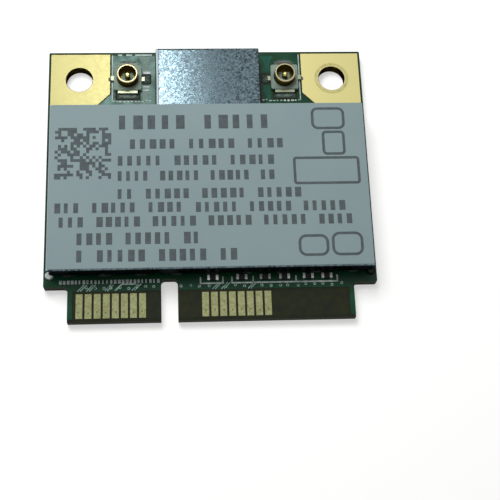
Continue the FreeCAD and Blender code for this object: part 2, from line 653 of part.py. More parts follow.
def main():
    nodes = {
        "circuit_board": circuit_board(),
        "upper_contacts": upper_contacts(),
        "lower_contacts": lower_contacts(),
        "screw_land_left": screw_land(-1),
        "screw_land_right": screw_land(1),
        "shield_frame": shield_frame(),
        "shield_cover": shield_cover(),
        "shield_solder": shield_solder(),
        "label": label(),
    }
    for name, inward in (("left", 1), ("right", -1)):
        x = -inward * ANTENNA_SPACING / 2
        nodes["antenna_base_" + name] = socket_base(x, inward)
        nodes["antenna_shell_" + name] = socket_shell(x, inward)
        nodes["antenna_pin_" + name] = socket_pin(x, inward)
        nodes["antenna_solder_" + name] = socket_solder(x, inward)
    nodes["line_chip_bodies"], nodes["line_chip_ends"] = line_chips()
    nodes["capacitor_bodies"], nodes["capacitor_ends"] = chip_set(capacitor_places(), CHIP_SIZE)
    nodes["resistor_bodies"], nodes["resistor_ends"] = chip_set(resistor_places(), CHIP_SIZE)
    bulk = [(*bay_place(place), False) for place in BULK_PLACES]
    nodes["bulk_capacitor_bodies"], nodes["bulk_capacitor_ends"] = chip_set(bulk, BULK_CHIP_SIZE)
    coil = [(*bay_place(INDUCTOR_PLACE), False)]
    nodes["power_inductor_core"], nodes["power_inductor_ends"] = chip_set(coil, INDUCTOR_SIZE)
    band_filter = [(*tongue_place(FILTER_PLACE), False)]
    nodes["band_filter_body"], nodes["band_filter_ends"] = chip_set(band_filter, FILTER_SIZE)
    balun = [(*tongue_place(BALUN_PLACE), False)]
    nodes["balun_body"], nodes["balun_ends"] = chip_set(balun, BALUN_SIZE)
    wifi = leadless(*bay_place(WIFI_PLACE), WIFI_PACKAGE, WIFI_TERMINAL_COUNT)
    nodes["wifi_chip"], nodes["wifi_chip_terminals"] = wifi
    amplifier = leadless(*bay_place(AMPLIFIER_PLACE), AMPLIFIER_PACKAGE, AMPLIFIER_TERMINAL_COUNT)
    nodes["power_amplifier"], nodes["power_amplifier_terminals"] = amplifier
    memory = leaded(*bay_place(MEMORY_PLACE), MEMORY_PACKAGE, MEMORY_LEAD_COUNT)
    nodes["memory_chip"], nodes["memory_chip_leads"] = memory
    regulator = leaded(*bay_place(REGULATOR_PLACE), REGULATOR_PACKAGE, REGULATOR_LEAD_COUNT)
    nodes["regulator"], nodes["regulator_leads"] = regulator
    antenna_switch = leaded(*tongue_place(SWITCH_PLACE), SWITCH_PACKAGE, SWITCH_LEAD_COUNT)
    nodes["antenna_switch"], nodes["antenna_switch_leads"] = antenna_switch
    nodes["crystal_tray"], nodes["crystal_lid"] = crystal()

    os.makedirs("parts", exist_ok=True)
    for name, shape in nodes.items():
        shape.exportStep("parts/" + name + ".step")
        print(name, len(shape.Solids), "solids,", round(shape.Volume, 3), "cubic mm")
    print(len(nodes), "nodes")


main()
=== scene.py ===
# %% [markdown]
# # A laptop's wireless card
# The card is a 30 mm wide circuit board with a keyed edge tab, a folded shield under a label, and two
# coaxial sockets. Its solid model arrives finished and stays where it is. This lesson dresses it: thin
# layers that a solid model leaves out, such as ink, tracks and solder, are worked out as arrays, and
# every piece gets a material named for what the real one is made of. Lengths are in millimetres and turn
# into metres only where a mesh, a lamp or a texture needs them.

# %% The solid model as a fixed frame
import math

import bpy
import numpy as np
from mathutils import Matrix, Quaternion, Vector


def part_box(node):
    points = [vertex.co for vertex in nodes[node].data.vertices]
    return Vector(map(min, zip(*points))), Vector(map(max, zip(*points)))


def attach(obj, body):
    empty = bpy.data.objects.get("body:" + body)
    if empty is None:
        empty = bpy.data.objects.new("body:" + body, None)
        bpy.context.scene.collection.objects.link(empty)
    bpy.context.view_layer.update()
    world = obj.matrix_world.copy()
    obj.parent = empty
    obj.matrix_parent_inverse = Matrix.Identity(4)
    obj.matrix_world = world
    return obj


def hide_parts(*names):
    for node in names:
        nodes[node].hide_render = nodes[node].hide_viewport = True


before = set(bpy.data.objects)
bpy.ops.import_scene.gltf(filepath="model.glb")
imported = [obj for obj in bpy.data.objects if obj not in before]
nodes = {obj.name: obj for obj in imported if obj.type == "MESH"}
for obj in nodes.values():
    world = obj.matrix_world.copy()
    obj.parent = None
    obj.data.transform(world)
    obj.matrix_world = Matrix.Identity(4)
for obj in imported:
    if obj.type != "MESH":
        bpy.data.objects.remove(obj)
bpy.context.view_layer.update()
MM = 0.001


def box_mm(node):
    """The lowest and highest corner of a solid, in millimetres."""
    low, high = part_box(node)
    return np.array(low) / MM, np.array(high) / MM


board_low, board_high = box_mm("circuit_board")
FRONT = board_low[1]
BACK = board_high[1]
BOARD_TOP = board_high[2]
print("nodes:", len(nodes), "board:", np.round(board_high - board_low, 3), "mm")

# %% [markdown]
# ## Camera
# The card was photographed from above its tab, a little left of its middle and slightly turned. A camera
# can be placed by its rotation angles, but a place, a point to look at and a roll say the same and can be
# read. The object is small, so the near clipping distance has to be small as well.

# %% Camera
CAMERA_PLACE = (-2.66, -37.98, 91.15)
CAMERA_AIM = (3.55, -6.95, 1.0)
CAMERA_ROLL = 9.71
CAMERA_LENS = 75.65
SENSOR_WIDTH = 36.0
CLIP_NEAR = 1.0
CLIP_FAR = 10000.0

camera_data = bpy.data.cameras.new("camera")
camera_data.sensor_width = SENSOR_WIDTH
camera_data.lens = CAMERA_LENS
camera_data.clip_start = CLIP_NEAR * MM
camera_data.clip_end = CLIP_FAR * MM
camera = bpy.data.objects.new("camera", camera_data)
scene = bpy.context.scene
scene.collection.objects.link(camera)
sight = Vector(CAMERA_AIM) - Vector(CAMERA_PLACE)
roll = Quaternion((0, 0, 1), math.radians(CAMERA_ROLL))
camera.rotation_mode = "QUATERNION"
camera.rotation_quaternion = sight.to_track_quat("-Z", "Y") @ roll
camera.location = Vector(CAMERA_PLACE) * MM
scene.camera = camera
print("camera", round(sight.length, 1), "mm from the card")

# %% [markdown]
# ## Colours and shader nodes
# Every material below is a small graph of nodes. One function adds a node, sets its properties and fills
# its sockets, either with a value or with a link from another node's output. The other turns the hex
# colours that designers write into the linear numbers that a renderer counts with.

# %% Colours and shader nodes
# A Mix node has sockets for every kind of data; these are the ones for colours and for plain numbers.
COLOUR_A, COLOUR_B, COLOUR_OUT = 6, 7, 2
NUMBER_A, NUMBER_B = 2, 3


def srgb(code):
    """A hex colour as linear numbers: below 0.04045 a channel is divided by 12.92, and above it the
    channel plus 0.055, over 1.055, is raised to the power 2.4."""
    channels = np.array([int(code[i:i + 2], 16) for i in (1, 3, 5)]) / 255
    linear = np.where(channels <= 0.04045, channels / 12.92, ((channels + 0.055) / 1.055) ** 2.4)
    return (*linear.tolist(), 1.0)


def add_node(tree, kind, inputs=None, **settings):
    """Adds a shader node. Settings are its properties; inputs maps sockets to values or to outputs."""
    made = tree.nodes.new("ShaderNode" + kind)
    for name, value in settings.items():
        setattr(made, name, value)
    for socket, value in (inputs or {}).items():
        if isinstance(value, bpy.types.NodeSocket):
            tree.links.new(value, made.inputs[socket])
        else:
            made.inputs[socket].default_value = value
    return made


print("a mid grey label is", np.round(srgb("#8C9B9B")[:3], 3), "in linear light")

# %% [markdown]
# ## Finishes
# No real surface has one flat colour: plating, ink and moulded plastic all drift a little. Most finishes
# below wander between two tones, in patches of a real size. A painted picture could do the same, but noise
# needs no file and never repeats, and on the piece's own coordinates it doesn't slide under the camera.

# %% Finishes
NOISE_DETAIL = 3.0
# Noise seldom leaves this range, so its ends become the two tones.
NOISE_RANGE = (0.3, 0.7)


def per_mm(size):
    """The scale of a texture whose features are about this many millimetres across."""
    return 1 / (size * MM)


def start_material(name, **surface):
    """A material with one Principled shader. Returns it with its tree, its shader and the coordinates
    of the object that wears it."""
    made = bpy.data.materials.new(name)
    made.use_nodes = True
    tree = made.node_tree
    tree.nodes.clear()
    shader = add_node(tree, "BsdfPrincipled", {key.replace("_", " "): v for key, v in surface.items()})
    add_node(tree, "OutputMaterial", {"Surface": shader.outputs["BSDF"]})
    place = add_node(tree, "TexCoord").outputs["Object"]
    return made, tree, shader, place


def two_tone(name, first, second, patch, stretch=(1.0, 1.0, 1.0), **surface):
    """A finish that wanders between two tones in patches of a size in millimetres. A stretch below one
    draws the patches out along that axis, into streaks or layers."""
    made, tree, shader, place = start_material(name, **surface)
    drawn = add_node(tree, "Mapping", {"Vector": place, "Scale": stretch})
    inputs = {"Vector": drawn.outputs[0], "Scale": per_mm(patch), "Detail": NOISE_DETAIL}
    noise = add_node(tree, "TexNoise", inputs).outputs["Fac"]
    inputs = {"Value": noise, "From Min": NOISE_RANGE[0], "From Max": NOISE_RANGE[1]}
    share = add_node(tree, "MapRange", inputs).outputs[0]
    inputs = {"Factor": share, COLOUR_A: srgb(first), COLOUR_B: srgb(second)}
    tone = add_node(tree, "Mix", inputs, data_type="RGBA")
    tree.links.new(tone.outputs[COLOUR_OUT], shader.inputs["Base Color"])
    return made


print("patches half a millimetre across need a scale of", per_mm(0.5))

# %% [markdown]
# ## Studio light
# A white surround and two soft lamps. A large panel behind the card's left side gives the card its light
# and shade. A narrow strip stands where the left edge of the bare shield mirrors it and the right half does
# not, which is how polished sheet is made to look like metal in a photograph. The surround is white to look
# at and in mirrors, but lights the card by less than that, so that the colours come out as written.

# %% Studio light
SURROUND_LIGHT = 0.2
PANEL_PLACE = (-36, 62, 118)
PANEL_SIZE = (80, 80)
PANEL_GLOW = 6.4
STRIP_PLACE = (-8.5, 61, 100)
STRIP_SIZE = (9, 26)
STRIP_GLOW = 17


def seen_directly(tree):
    """One for rays from the camera, off a mirror or through glass, and nought for all others."""
    path = add_node(tree, "LightPath").outputs
    inputs = {0: path["Is Camera Ray"], 1: path["Is Glossy Ray"]}
    either = add_node(tree, "Math", inputs, operation="MAXIMUM").outputs[0]
    return add_node(tree, "Math", {0: either, 1: path["Is Transmission Ray"]}, operation="MAXIMUM").outputs[0]


def add_lamp(name, place, size, glow, mirrored):
    """A soft rectangular lamp that faces the card. Its power is its brightness times its area times pi.
    Metal shows it only if it is to be mirrored."""
    data = bpy.data.lights.new(name, "AREA")
    data.shape = "RECTANGLE"
    data.size = size[0] * MM
    data.size_y = size[1] * MM
    data.energy = glow * math.pi * data.size * data.size_y
    lamp = bpy.data.objects.new(name, data)
    lamp.location = Vector(place) * MM
    lamp.rotation_euler = (-Vector(place)).to_track_quat("-Z", "Y").to_euler()
    lamp.visible_glossy = mirrored
    scene.collection.objects.link(lamp)
    print(name, size, "mm,", round(data.energy * 1000, 1), "mW")


scene.view_settings.view_transform = "Standard"
scene.world = bpy.data.worlds.new("white surround")
scene.world.use_nodes = True
sky = scene.world.node_tree
sky.nodes.clear()
strength = add_node(sky, "MapRange", {"Value": seen_directly(sky), "To Min": SURROUND_LIGHT, "To Max": 1.0})
surround = add_node(sky, "Background", {"Color": srgb("#FFFFFF"), "Strength": strength.outputs[0]})
add_node(sky, "OutputWorld", {"Surface": surround.outputs[0]})
add_lamp("panel", PANEL_PLACE, PANEL_SIZE, PANEL_GLOW, mirrored=False)
add_lamp("strip", STRIP_PLACE, STRIP_SIZE, STRIP_GLOW, mirrored=True)

# %% [markdown]
# ## Floor
# A plain pale floor. It adds a little light of its own for the same rays as the surround, so that it looks
# white and keeps the card's shadow without throwing more light on the card. Further out, where the lamps'
# light fades, the glow makes up for it.

# %% Floor
FLOOR_SIZE = 3000
FLOOR_DROP = 0.01
FLOOR_GLOW = 0.5
FAR_GLOW = 0.86
GLOW_REACH = (60, 420)

# Matte paint: even and pale, without a mirrored light of its own.
floor_paint = bpy.data.materials.new("pale studio floor")
floor_paint.use_nodes = True
floor_tree = floor_paint.node_tree
floor_tree.nodes.clear()
matte = add_node(floor_tree, "BsdfDiffuse", {"Color": srgb("#E6E6E4")})
where = add_node(floor_tree, "TexCoord").outputs["Object"]
away = add_node(floor_tree, "VectorMath", {0: where}, operation="LENGTH").outputs["Value"]
inputs = {"Value": away, "From Min": GLOW_REACH[0] * MM, "From Max": GLOW_REACH[1] * MM,
          "To Min": FLOOR_GLOW, "To Max": FAR_GLOW}
own_light = add_node(floor_tree, "MapRange", inputs, interpolation_type="SMOOTHSTEP").outputs[0]
lift = add_node(floor_tree, "Math", {0: seen_directly(floor_tree), 1: own_light}, operation="MULTIPLY")
glow = add_node(floor_tree, "Emission", {"Color": srgb("#FFFFFF"), "Strength": lift.outputs[0]})
both = add_node(floor_tree, "AddShader", {0: matte.outputs[0], 1: glow.outputs[0]})
add_node(floor_tree, "OutputMaterial", {"Surface": both.outputs[0]})
square = np.array([(-1, -1), (1, -1), (1, 1), (-1, 1)]) * FLOOR_SIZE / 2
floor_points = np.column_stack([square, np.full(4, -FLOOR_DROP)]) * MM
floor_mesh = bpy.data.meshes.new("floor")
floor_mesh.from_pydata(floor_points.tolist(), [], [(0, 1, 2, 3)])
floor_mesh.materials.append(floor_paint)
floor = bpy.data.objects.new("floor", floor_mesh)
scene.collection.objects.link(floor)
print("floor", FLOOR_SIZE, "mm wide,", FLOOR_DROP, "mm under the card")

# %% [markdown]
# ## New pieces
# A new piece is an array of points and a few arrays of faces, handed to Blender in one go. It keeps its
# place in its points, so its object stays at the origin as the solids do, and it rides with the card.
# Solids that keep their own mesh only change their material.


# %% New pieces and dressed solids
def make_piece(name, shape, paint, smooth=False):
    """A mesh object of its own with one finish, hung under the card's root."""
    points, faces = shape
    mesh = bpy.data.meshes.new(name)
    mesh.from_pydata((points * MM).tolist(), [], [face for part in faces for face in part.tolist()])
    mesh.materials.append(paint)
    mesh.polygons.foreach_set("use_smooth", np.full(len(mesh.polygons), smooth))
    mesh.update()
    piece = bpy.data.objects.new(name, mesh)
    scene.collection.objects.link(piece)
    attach(piece, "root")
    print(name, len(mesh.vertices), "points,", len(mesh.polygons), "faces")
    return piece


def dress(paint, *names):
    """Gives solids of the frame a finish in place of their plain one."""
    for name in names:
        nodes[name].data.materials.clear()
        nodes[name].data.materials.append(paint)
    print(paint.name, "on", ", ".join(names))


# %% [markdown]
# ## Board finishes
# The board is glass-epoxy laminate under a film of green solder mask. The mask stops short of the edge
# contacts, and the cut edges show the laminate. All three are epoxy and differ in gloss, so each is one
# two-tone finish; the layers of the cut edge are the same noise drawn out sideways. The weave leaves tiny
# hollows that swallow part of the mirrored light, which a low specular level stands for.

# %% Board finishes
WEAVE = {"IOR": 1.5, "Specular_IOR_Level": 0.22}
# Cured epoxy film: a dark glossy green that is a little uneven where copper lies under it.
solder_mask = two_tone("solder mask, cured epoxy", "#002611", "#054329", 1.6, Roughness=0.35, **WEAVE)
# Glass and epoxy without the mask: dull, dark olive, faintly clouded by the fibres beneath.
bare_laminate = two_tone("bare glass-epoxy laminate", "#0A1205", "#1E2109", 0.8, Roughness=0.5, **WEAVE)
# Routed edge: the glass is broken open, so it is dry and rough, and darker between its plies.
cut_edge = two_tone("routed laminate edge", "#0E130C", "#2C311E", 0.12, (0.08, 0.08, 1.0), Roughness=0.8,
                    **WEAVE)
print("board finishes:", solder_mask.name, "/", bare_laminate.name, "/", cut_edge.name)

# %% [markdown]
# ## Board
# The solid already has the mask's steps, so its faces can be sorted by height and slope instead of being
# modelled again. The copy's underside is drawn in by some hundredths of a millimetre, which leaves room for
# the tracks there within the card's real thickness.

# %% Board as a copy of its solid
UNDERSIDE_ROOM = 0.015
MASK_SLACK = 0.02
LEVEL_SLOPE = 0.9
MASKED, BARE, CUT = range(3)


def solid_arrays(name):
    """A solid's points in millimetres, with doubles merged, and its triangles."""
    mesh = nodes[name].data
    points = np.empty(len(mesh.vertices) * 3)
    mesh.vertices.foreach_get("co", points)
    corner = np.empty(len(mesh.loops), int)
    mesh.loops.foreach_get("vertex_index", corner)
    single, number = np.unique(np.round(points.reshape(-1, 3) / MM, 4), axis=0, return_inverse=True)
    return single, number.ravel()[corner].reshape(-1, 3)


board_points, board_faces = solid_arrays("circuit_board")
corners = board_points[board_faces]
normals = np.cross(corners[:, 1] - corners[:, 0], corners[:, 2] - corners[:, 0])
level = np.abs(normals[:, 2]) > LEVEL_SLOPE * np.linalg.norm(normals, axis=1)
middle_z = corners[:, :, 2].mean(axis=1)
masked = np.minimum(middle_z, BOARD_TOP - middle_z) < MASK_SLACK
face_kind = np.where(level, np.where(masked, MASKED, BARE), CUT)
board_points[:, 2] = np.maximum(board_points[:, 2], UNDERSIDE_ROOM)
board = make_piece("board", (board_points, [board_faces]), solder_mask)
board.data.materials.append(bare_laminate)
board.data.materials.append(cut_edge)
board.data.polygons.foreach_set("material_index", face_kind.astype(np.int32))
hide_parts("circuit_board")
print("masked, bare and cut faces:", np.bincount(face_kind))

# %% [markdown]
# ## Gold on the contacts
# The contacts carry hard gold that plugging has dulled. It is metal, so its colour is the colour of what it
# mirrors, and a fine unevenness is what stops it looking like paint. The solids already have the contacts'
# outline, so one two-tone finish is enough for both faces of the tab.

# %% Gold on the contacts
# Hard gold: darker and more olive than the lands' gold, satin, with tiny dents where the spring contacts
# land.
contact_gold = two_tone("hard gold plating, dulled", "#7B7E58", "#999C73", 0.22, Metallic=1.0, Roughness=0.42)
dress(contact_gold, "upper_contacts", "lower_contacts")

# %% [markdown]
# ## Gold on the screw lands
# The lands keep a soft, bright gold that no plug has touched. A screw head has pressed a ring into the right
# one. It could be painted by hand; here a band of distance from the hole's axis is darker, and the grain of
# the plating breaks it up.

# %% Gold on the screw lands
HOLE_RADIUS = 1.3
HOLE_FROM_EDGES = 2.9
WEAR_INNER = 1.42
WEAR_OUTER = 1.6
WEAR_SOFT = 0.1
WORN_GOLD = "#6F6B3A"
LAND_GRAIN = 0.3
LAND_SATIN = (0.3, 0.46)
hole_x = board_high[0] - HOLE_FROM_EDGES
hole_y = BACK - HOLE_FROM_EDGES


def land_gold(name, centre_x, bright, wear):
    """Soft gold, satin and mottled, with a worn band between two distances from the hole's axis."""
    made, tree, shader, place = start_material(name, Metallic=1.0)
    inputs = {0: place, 1: (-centre_x * MM, -hole_y * MM, 0.0)}
    moved = add_node(tree, "VectorMath", inputs, operation="ADD")
    flat = add_node(tree, "VectorMath", {0: moved.outputs[0], 1: (1.0, 1.0, 0.0)}, operation="MULTIPLY")
    reach = add_node(tree, "VectorMath", {0: flat.outputs[0]}, operation="LENGTH").outputs["Value"]
    inner = {"Value": reach, "From Min": (WEAR_INNER - WEAR_SOFT) * MM, "From Max": WEAR_INNER * MM}
    outer = {"Value": reach, "From Min": (WEAR_OUTER + WEAR_SOFT) * MM, "From Max": WEAR_OUTER * MM}
    past_inner = add_node(tree, "MapRange", inner).outputs[0]
    within_outer = add_node(tree, "MapRange", outer).outputs[0]
    band = add_node(tree, "Math", {0: past_inner, 1: within_outer}, operation="MULTIPLY")
    inputs = {"Vector": place, "Scale": per_mm(LAND_GRAIN), "Detail": NOISE_DETAIL}
    grain = add_node(tree, "TexNoise", inputs).outputs["Fac"]
    broken = add_node(tree, "Math", {0: band.outputs[0], 1: grain}, operation="MULTIPLY")
    worn = add_node(tree, "Math", {0: broken.outputs[0], 1: wear}, operation="MULTIPLY").outputs[0]
    inputs = {"Factor": worn, COLOUR_A: srgb(bright), COLOUR_B: srgb(WORN_GOLD)}
    gold = add_node(tree, "Mix", inputs, data_type="RGBA")
    tree.links.new(gold.outputs[COLOUR_OUT], shader.inputs["Base Color"])
    satin = add_node(tree, "MapRange", {"Value": grain, "To Min": LAND_SATIN[0], "To Max": LAND_SATIN[1]})
    tree.links.new(satin.outputs[0], shader.inputs["Roughness"])
    return made


dress(land_gold("immersion gold, bright", -hole_x, "#B9B37B", 0.0), "screw_land_left")
dress(land_gold("immersion gold, screwed on", hole_x, "#CBC386", 0.7), "screw_land_right")

# %% [markdown]
# ## Plated holes
# The walls of the screw holes are plated right through. A cylinder with a hole cut in it would do; turning a
# closed section of radius and height about each axis gives the same thin sleeve in one step, and serves the
# probe marks and the vias as well.

# %% Plated walls of the screw holes
PLATING = 0.03
SLEEVE_STEPS = 96


def turned(centres, section, steps):
    """A closed section of radius and height turned about upright axes: x is the centre's plus the radius
    times the cosine of the angle, and y the same with the sine."""
    centres = np.atleast_2d(centres)
    section = np.asarray(section, float)
    angle = np.arange(steps) * 2 * np.pi / steps
    x = centres[:, 0, None, None] + section[:, 0, None] * np.cos(angle)
    y = centres[:, 1, None, None] + section[:, 0, None] * np.sin(angle)
    z = np.broadcast_to(section[:, 1, None], x.shape)
    points = np.stack([x, y, z], axis=-1).reshape(-1, 3)
    index = np.arange(len(points)).reshape(x.shape)
    ahead = np.roll(index, -1, axis=2)
    faces = np.stack([index, ahead, np.roll(ahead, -1, axis=1), np.roll(index, -1, axis=1)], axis=-1)
    return points, [faces.reshape(-1, 4)]


# The gold in the holes is painted near black as painted shade, and a grey edge tint keeps it from
# brightening at a low angle.
DULL_EDGE = {"Specular_Tint": srgb("#808080")}
shaded_hole_gold = two_tone("gold plating in the holes, painted shade", "#17130A", "#3A3218", 0.4, Metallic=1.0, Roughness=0.45,
                     **DULL_EDGE)
sleeve = [(HOLE_RADIUS - PLATING, board_low[2]), (HOLE_RADIUS, board_low[2]), (HOLE_RADIUS, BOARD_TOP),
          (HOLE_RADIUS - PLATING, BOARD_TOP)]
sleeves = turned([(-hole_x, hole_y), (hole_x, hole_y)], sleeve, SLEEVE_STEPS)
make_piece("hole_plating", sleeves, shaded_hole_gold)

# %% [markdown]
# ## Test marks
# A test probe has pricked each upper contact near its front end, a little off the middle. Each prick is a
# tiny raised ring. Their places follow the contacts' pitch with a small random error, and a fixed seed
# makes the same error every time.

# %% Probe marks on the contacts
CONTACT_PITCH = 0.8
CONTACT_WIDTH = 0.6
GROUP = 8
MARK_FROM_FRONT = 0.85
MARK_ERROR = 0.06
MARK_STEPS = 16
MARK_INNER = 0.03
MARK_OUTER = 0.08
MARK_SLOPE = 0.01
MARK_RISE = 0.003
SEED = 11
rng = np.random.default_rng(SEED)
upper_low, upper_high = box_mm("upper_contacts")
pitches = CONTACT_PITCH * np.arange(GROUP)
upper_x = np.concatenate([upper_low[0] + CONTACT_WIDTH / 2 + pitches,
                          upper_high[0] - CONTACT_WIDTH / 2 - pitches[::-1]])
mark_places = np.column_stack([upper_x, np.full(2 * GROUP, FRONT + MARK_FROM_FRONT)])
mark_places = mark_places + rng.uniform(-MARK_ERROR, MARK_ERROR, mark_places.shape)
mark = [(MARK_INNER, BOARD_TOP), (MARK_OUTER, BOARD_TOP), (MARK_OUTER - MARK_SLOPE, BOARD_TOP + MARK_RISE),
        (MARK_INNER + MARK_SLOPE, BOARD_TOP + MARK_RISE)]
# Bruised gold: darker and duller than the plating round it, as the nickel shows through.
pricked_gold = two_tone("pricked gold", "#4C4A26", "#77754A", 0.1, Metallic=1.0, Roughness=0.6)
make_piece("probe_marks", turned(mark_places, mark, MARK_STEPS), pricked_gold)

# %% [markdown]
# ## Shield
# The shield is tin-plated steel. Hot-dipped tin freezes in small crystals, each of which mirrors a slightly
# different way, so the bare tongue glitters. A picture of such a surface would repeat; a field of random
# cells, each with its own tone, roughness and tilt, is the same idea as the real crystals. Faces that lean
# left, on the left bends, are painted pale as a painted highlight, and the upright walls are painted near
# black as painted shade, so the lean and the slope of a face decide between the three.

# %% Spangled tinplate
# The crystals are drawn 0.15 mm across, coarser than on the real sheet, or they would not show.
CRYSTAL = 0.15
CRYSTAL_TILT = 0.07
CRYSTAL_SATIN = (0.1, 0.2)
WALL_SATIN = 0.4
# How far a face leans left where the painted highlight on the bends sets in, and looks up where the painted
# wall shade ends
HIGHLIGHT_LEAN = (-0.1, -0.3)
WALL_SHADE_SLOPE = (0.35, 0.65)
# Thin, handled plating doesn't brighten at a low angle as clean metal does: a grey edge tint holds that back.
EDGE_TINT = {"Specular_Tint": srgb("#B4B4B4")}
# Tin in crystals: a cold grey in which each crystal is bright or dark as a whole.
tinplate, tree, shader, place = start_material("spangled tinplate, painted highlight and shade", Metallic=1.0, **EDGE_TINT)
cells = add_node(tree, "TexVoronoi", {"Vector": place, "Scale": per_mm(CRYSTAL)})
crystal = add_node(tree, "SeparateColor", {"Color": cells.outputs["Color"]}).outputs
inputs = {"Factor": crystal[0], COLOUR_A: srgb("#2A363B"), COLOUR_B: srgb("#73858D")}
tin = add_node(tree, "Mix", inputs, data_type="RGBA").outputs[COLOUR_OUT]
surface = add_node(tree, "NewGeometry").outputs
facing = add_node(tree, "SeparateXYZ", {"Vector": surface["True Normal"]}).outputs
# Faces that lean left are painted pale: a painted highlight on the left bends.
inputs = {"Value": facing["X"], "From Min": HIGHLIGHT_LEAN[0], "From Max": HIGHLIGHT_LEAN[1]}
left_highlight = add_node(tree, "MapRange", inputs).outputs[0]
inputs = {"Factor": left_highlight, COLOUR_A: tin, COLOUR_B: srgb("#C4D0D5")}
highlighted_tin = add_node(tree, "Mix", inputs, data_type="RGBA").outputs[COLOUR_OUT]
# Upright faces are painted near black: painted shade on the walls.
upward = add_node(tree, "Math", {0: facing["Z"]}, operation="ABSOLUTE").outputs[0]
inputs = {"Value": upward, "From Min": WALL_SHADE_SLOPE[0], "From Max": WALL_SHADE_SLOPE[1]}
unshaded_top = add_node(tree, "MapRange", inputs).outputs[0]
inputs = {"Factor": unshaded_top, COLOUR_A: srgb("#1E2224"), COLOUR_B: highlighted_tin}
shaded_walls_colour = add_node(tree, "Mix", inputs, data_type="RGBA").outputs[COLOUR_OUT]
tree.links.new(shaded_walls_colour, shader.inputs["Base Color"])
inputs = {"Value": crystal[1], "To Min": CRYSTAL_SATIN[0], "To Max": CRYSTAL_SATIN[1]}
bright = add_node(tree, "MapRange", inputs).outputs[0]
inputs = {"Factor": unshaded_top, NUMBER_A: WALL_SATIN, NUMBER_B: bright}
satin = add_node(tree, "Mix", inputs, data_type="FLOAT")
tree.links.new(satin.outputs[0], shader.inputs["Roughness"])
inputs = {0: cells.outputs["Color"], 1: (0.5, 0.5, 0.5)}
lean = add_node(tree, "VectorMath", inputs, operation="SUBTRACT").outputs[0]
amount = add_node(tree, "Math", {0: unshaded_top, 1: CRYSTAL_TILT}, operation="MULTIPLY").outputs[0]
tilt = add_node(tree, "VectorMath", {0: lean, "Scale": amount}, operation="SCALE").outputs[0]
facet = add_node(tree, "VectorMath", {0: surface["Normal"], 1: tilt}, operation="ADD").outputs[0]
unit = add_node(tree, "VectorMath", {0: facet}, operation="NORMALIZE").outputs[0]
tree.links.new(unit, shader.inputs["Normal"])
dress(tinplate, "shield_cover", "shield_frame")

# %% [markdown]
# ## Label film
# A matte grey film is stuck on the main bay. A plane with a picture would be the quick way; here the film
# has its real thickness and a soft edge. An outline is carried through a section of inset and height, which
# also serves for solder and for flat copper later.

# %% Label film
INK = 0.008
LABEL_CORNER = 0.15
LABEL_EDGE = 0.02
CORNER_STEPS = 8
label_low, label_high = box_mm("label")
film_top = label_high[2] - INK


def rounded_rectangle(x0, x1, y0, y1, radius):
    """A rectangle's outline with quarter circles about four inset centres, and its outward normals."""
    angle = np.radians(np.arange(4)[:, None] * 90 + np.linspace(0, 90, CORNER_STEPS))
    normal = np.stack([np.cos(angle), np.sin(angle)], axis=-1)
    centre = np.array([(x1 - radius, y1 - radius), (x0 + radius, y1 - radius), (x0 + radius, y0 + radius),
                       (x1 - radius, y0 + radius)])
    outline = centre[:, None] + radius * normal
    return outline.reshape(-1, 2), normal.reshape(-1, 2)


def sheet(outline, normal, section):
    """A section of inset and height carried round an outline, with flat caps below and above: each ring
    is the outline less the inset times its normals."""
    inset, height = np.asarray(section, float).T
    plan = outline - normal * inset[:, None, None]
    tall = np.broadcast_to(height[:, None, None], plan.shape[:2] + (1,))
    points = np.concatenate([plan, tall], axis=2).reshape(-1, 3)
    index = np.arange(len(points)).reshape(plan.shape[:2])
    ahead = np.roll(index, -1, axis=1)
    sides = np.stack([index[:-1], ahead[:-1], ahead[1:], index[1:]], axis=-1)
    return points, [sides.reshape(-1, 4), index[:1, ::-1], index[-1:]]


# Matte synthetic paper: even, faintly blue grey, with a slight drift.
film_paper = two_tone("matte label film", "#899DA0", "#8FA2A4", 6.0, IOR=1.46, Roughness=0.55)
film_edges = (label_low[0], label_high[0], label_low[1], label_high[1])
film_section = [(0, label_low[2]), (0, film_top - LABEL_EDGE), (LABEL_EDGE, film_top)]
film_shape = sheet(*rounded_rectangle(*film_edges, LABEL_CORNER), film_section)
film = make_piece("label_film", film_shape, film_paper)
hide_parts("label")

# %% [markdown]
# ## Blocks and strips
# Ink, tracks and silkscreen are all thin flat layers with straight edges. Two shapes cover them: upright
# blocks, made many at a time, and strips that follow a path with mitred corners. A curve with a bevel could
# draw the strips, but would leave the corners round.


# %% Blocks and strips
BLOCK_FACES = np.array([[0, 3, 2, 1], [4, 5, 6, 7], [0, 1, 5, 4], [1, 2, 6, 5], [2, 3, 7, 6], [3, 0, 4, 7]])


def blocks(x0, x1, y0, y1, low, high):
    """Upright blocks given by their edges. Each edge is a number or an array, one entry for a block."""
    x0, x1, y0, y1 = np.broadcast_arrays(*np.atleast_1d(x0, x1, y0, y1))
    x = np.stack([x0, x1, x1, x0] * 2, axis=-1)
    y = np.stack([y0, y0, y1, y1] * 2, axis=-1)
    z = np.broadcast_to([low] * 4 + [high] * 4, x.shape)
    points = np.stack([x, y, z], axis=-1).reshape(-1, 3)
    faces = BLOCK_FACES + 8 * np.arange(len(x))[:, None, None]
    return points, [faces.reshape(-1, 4)]


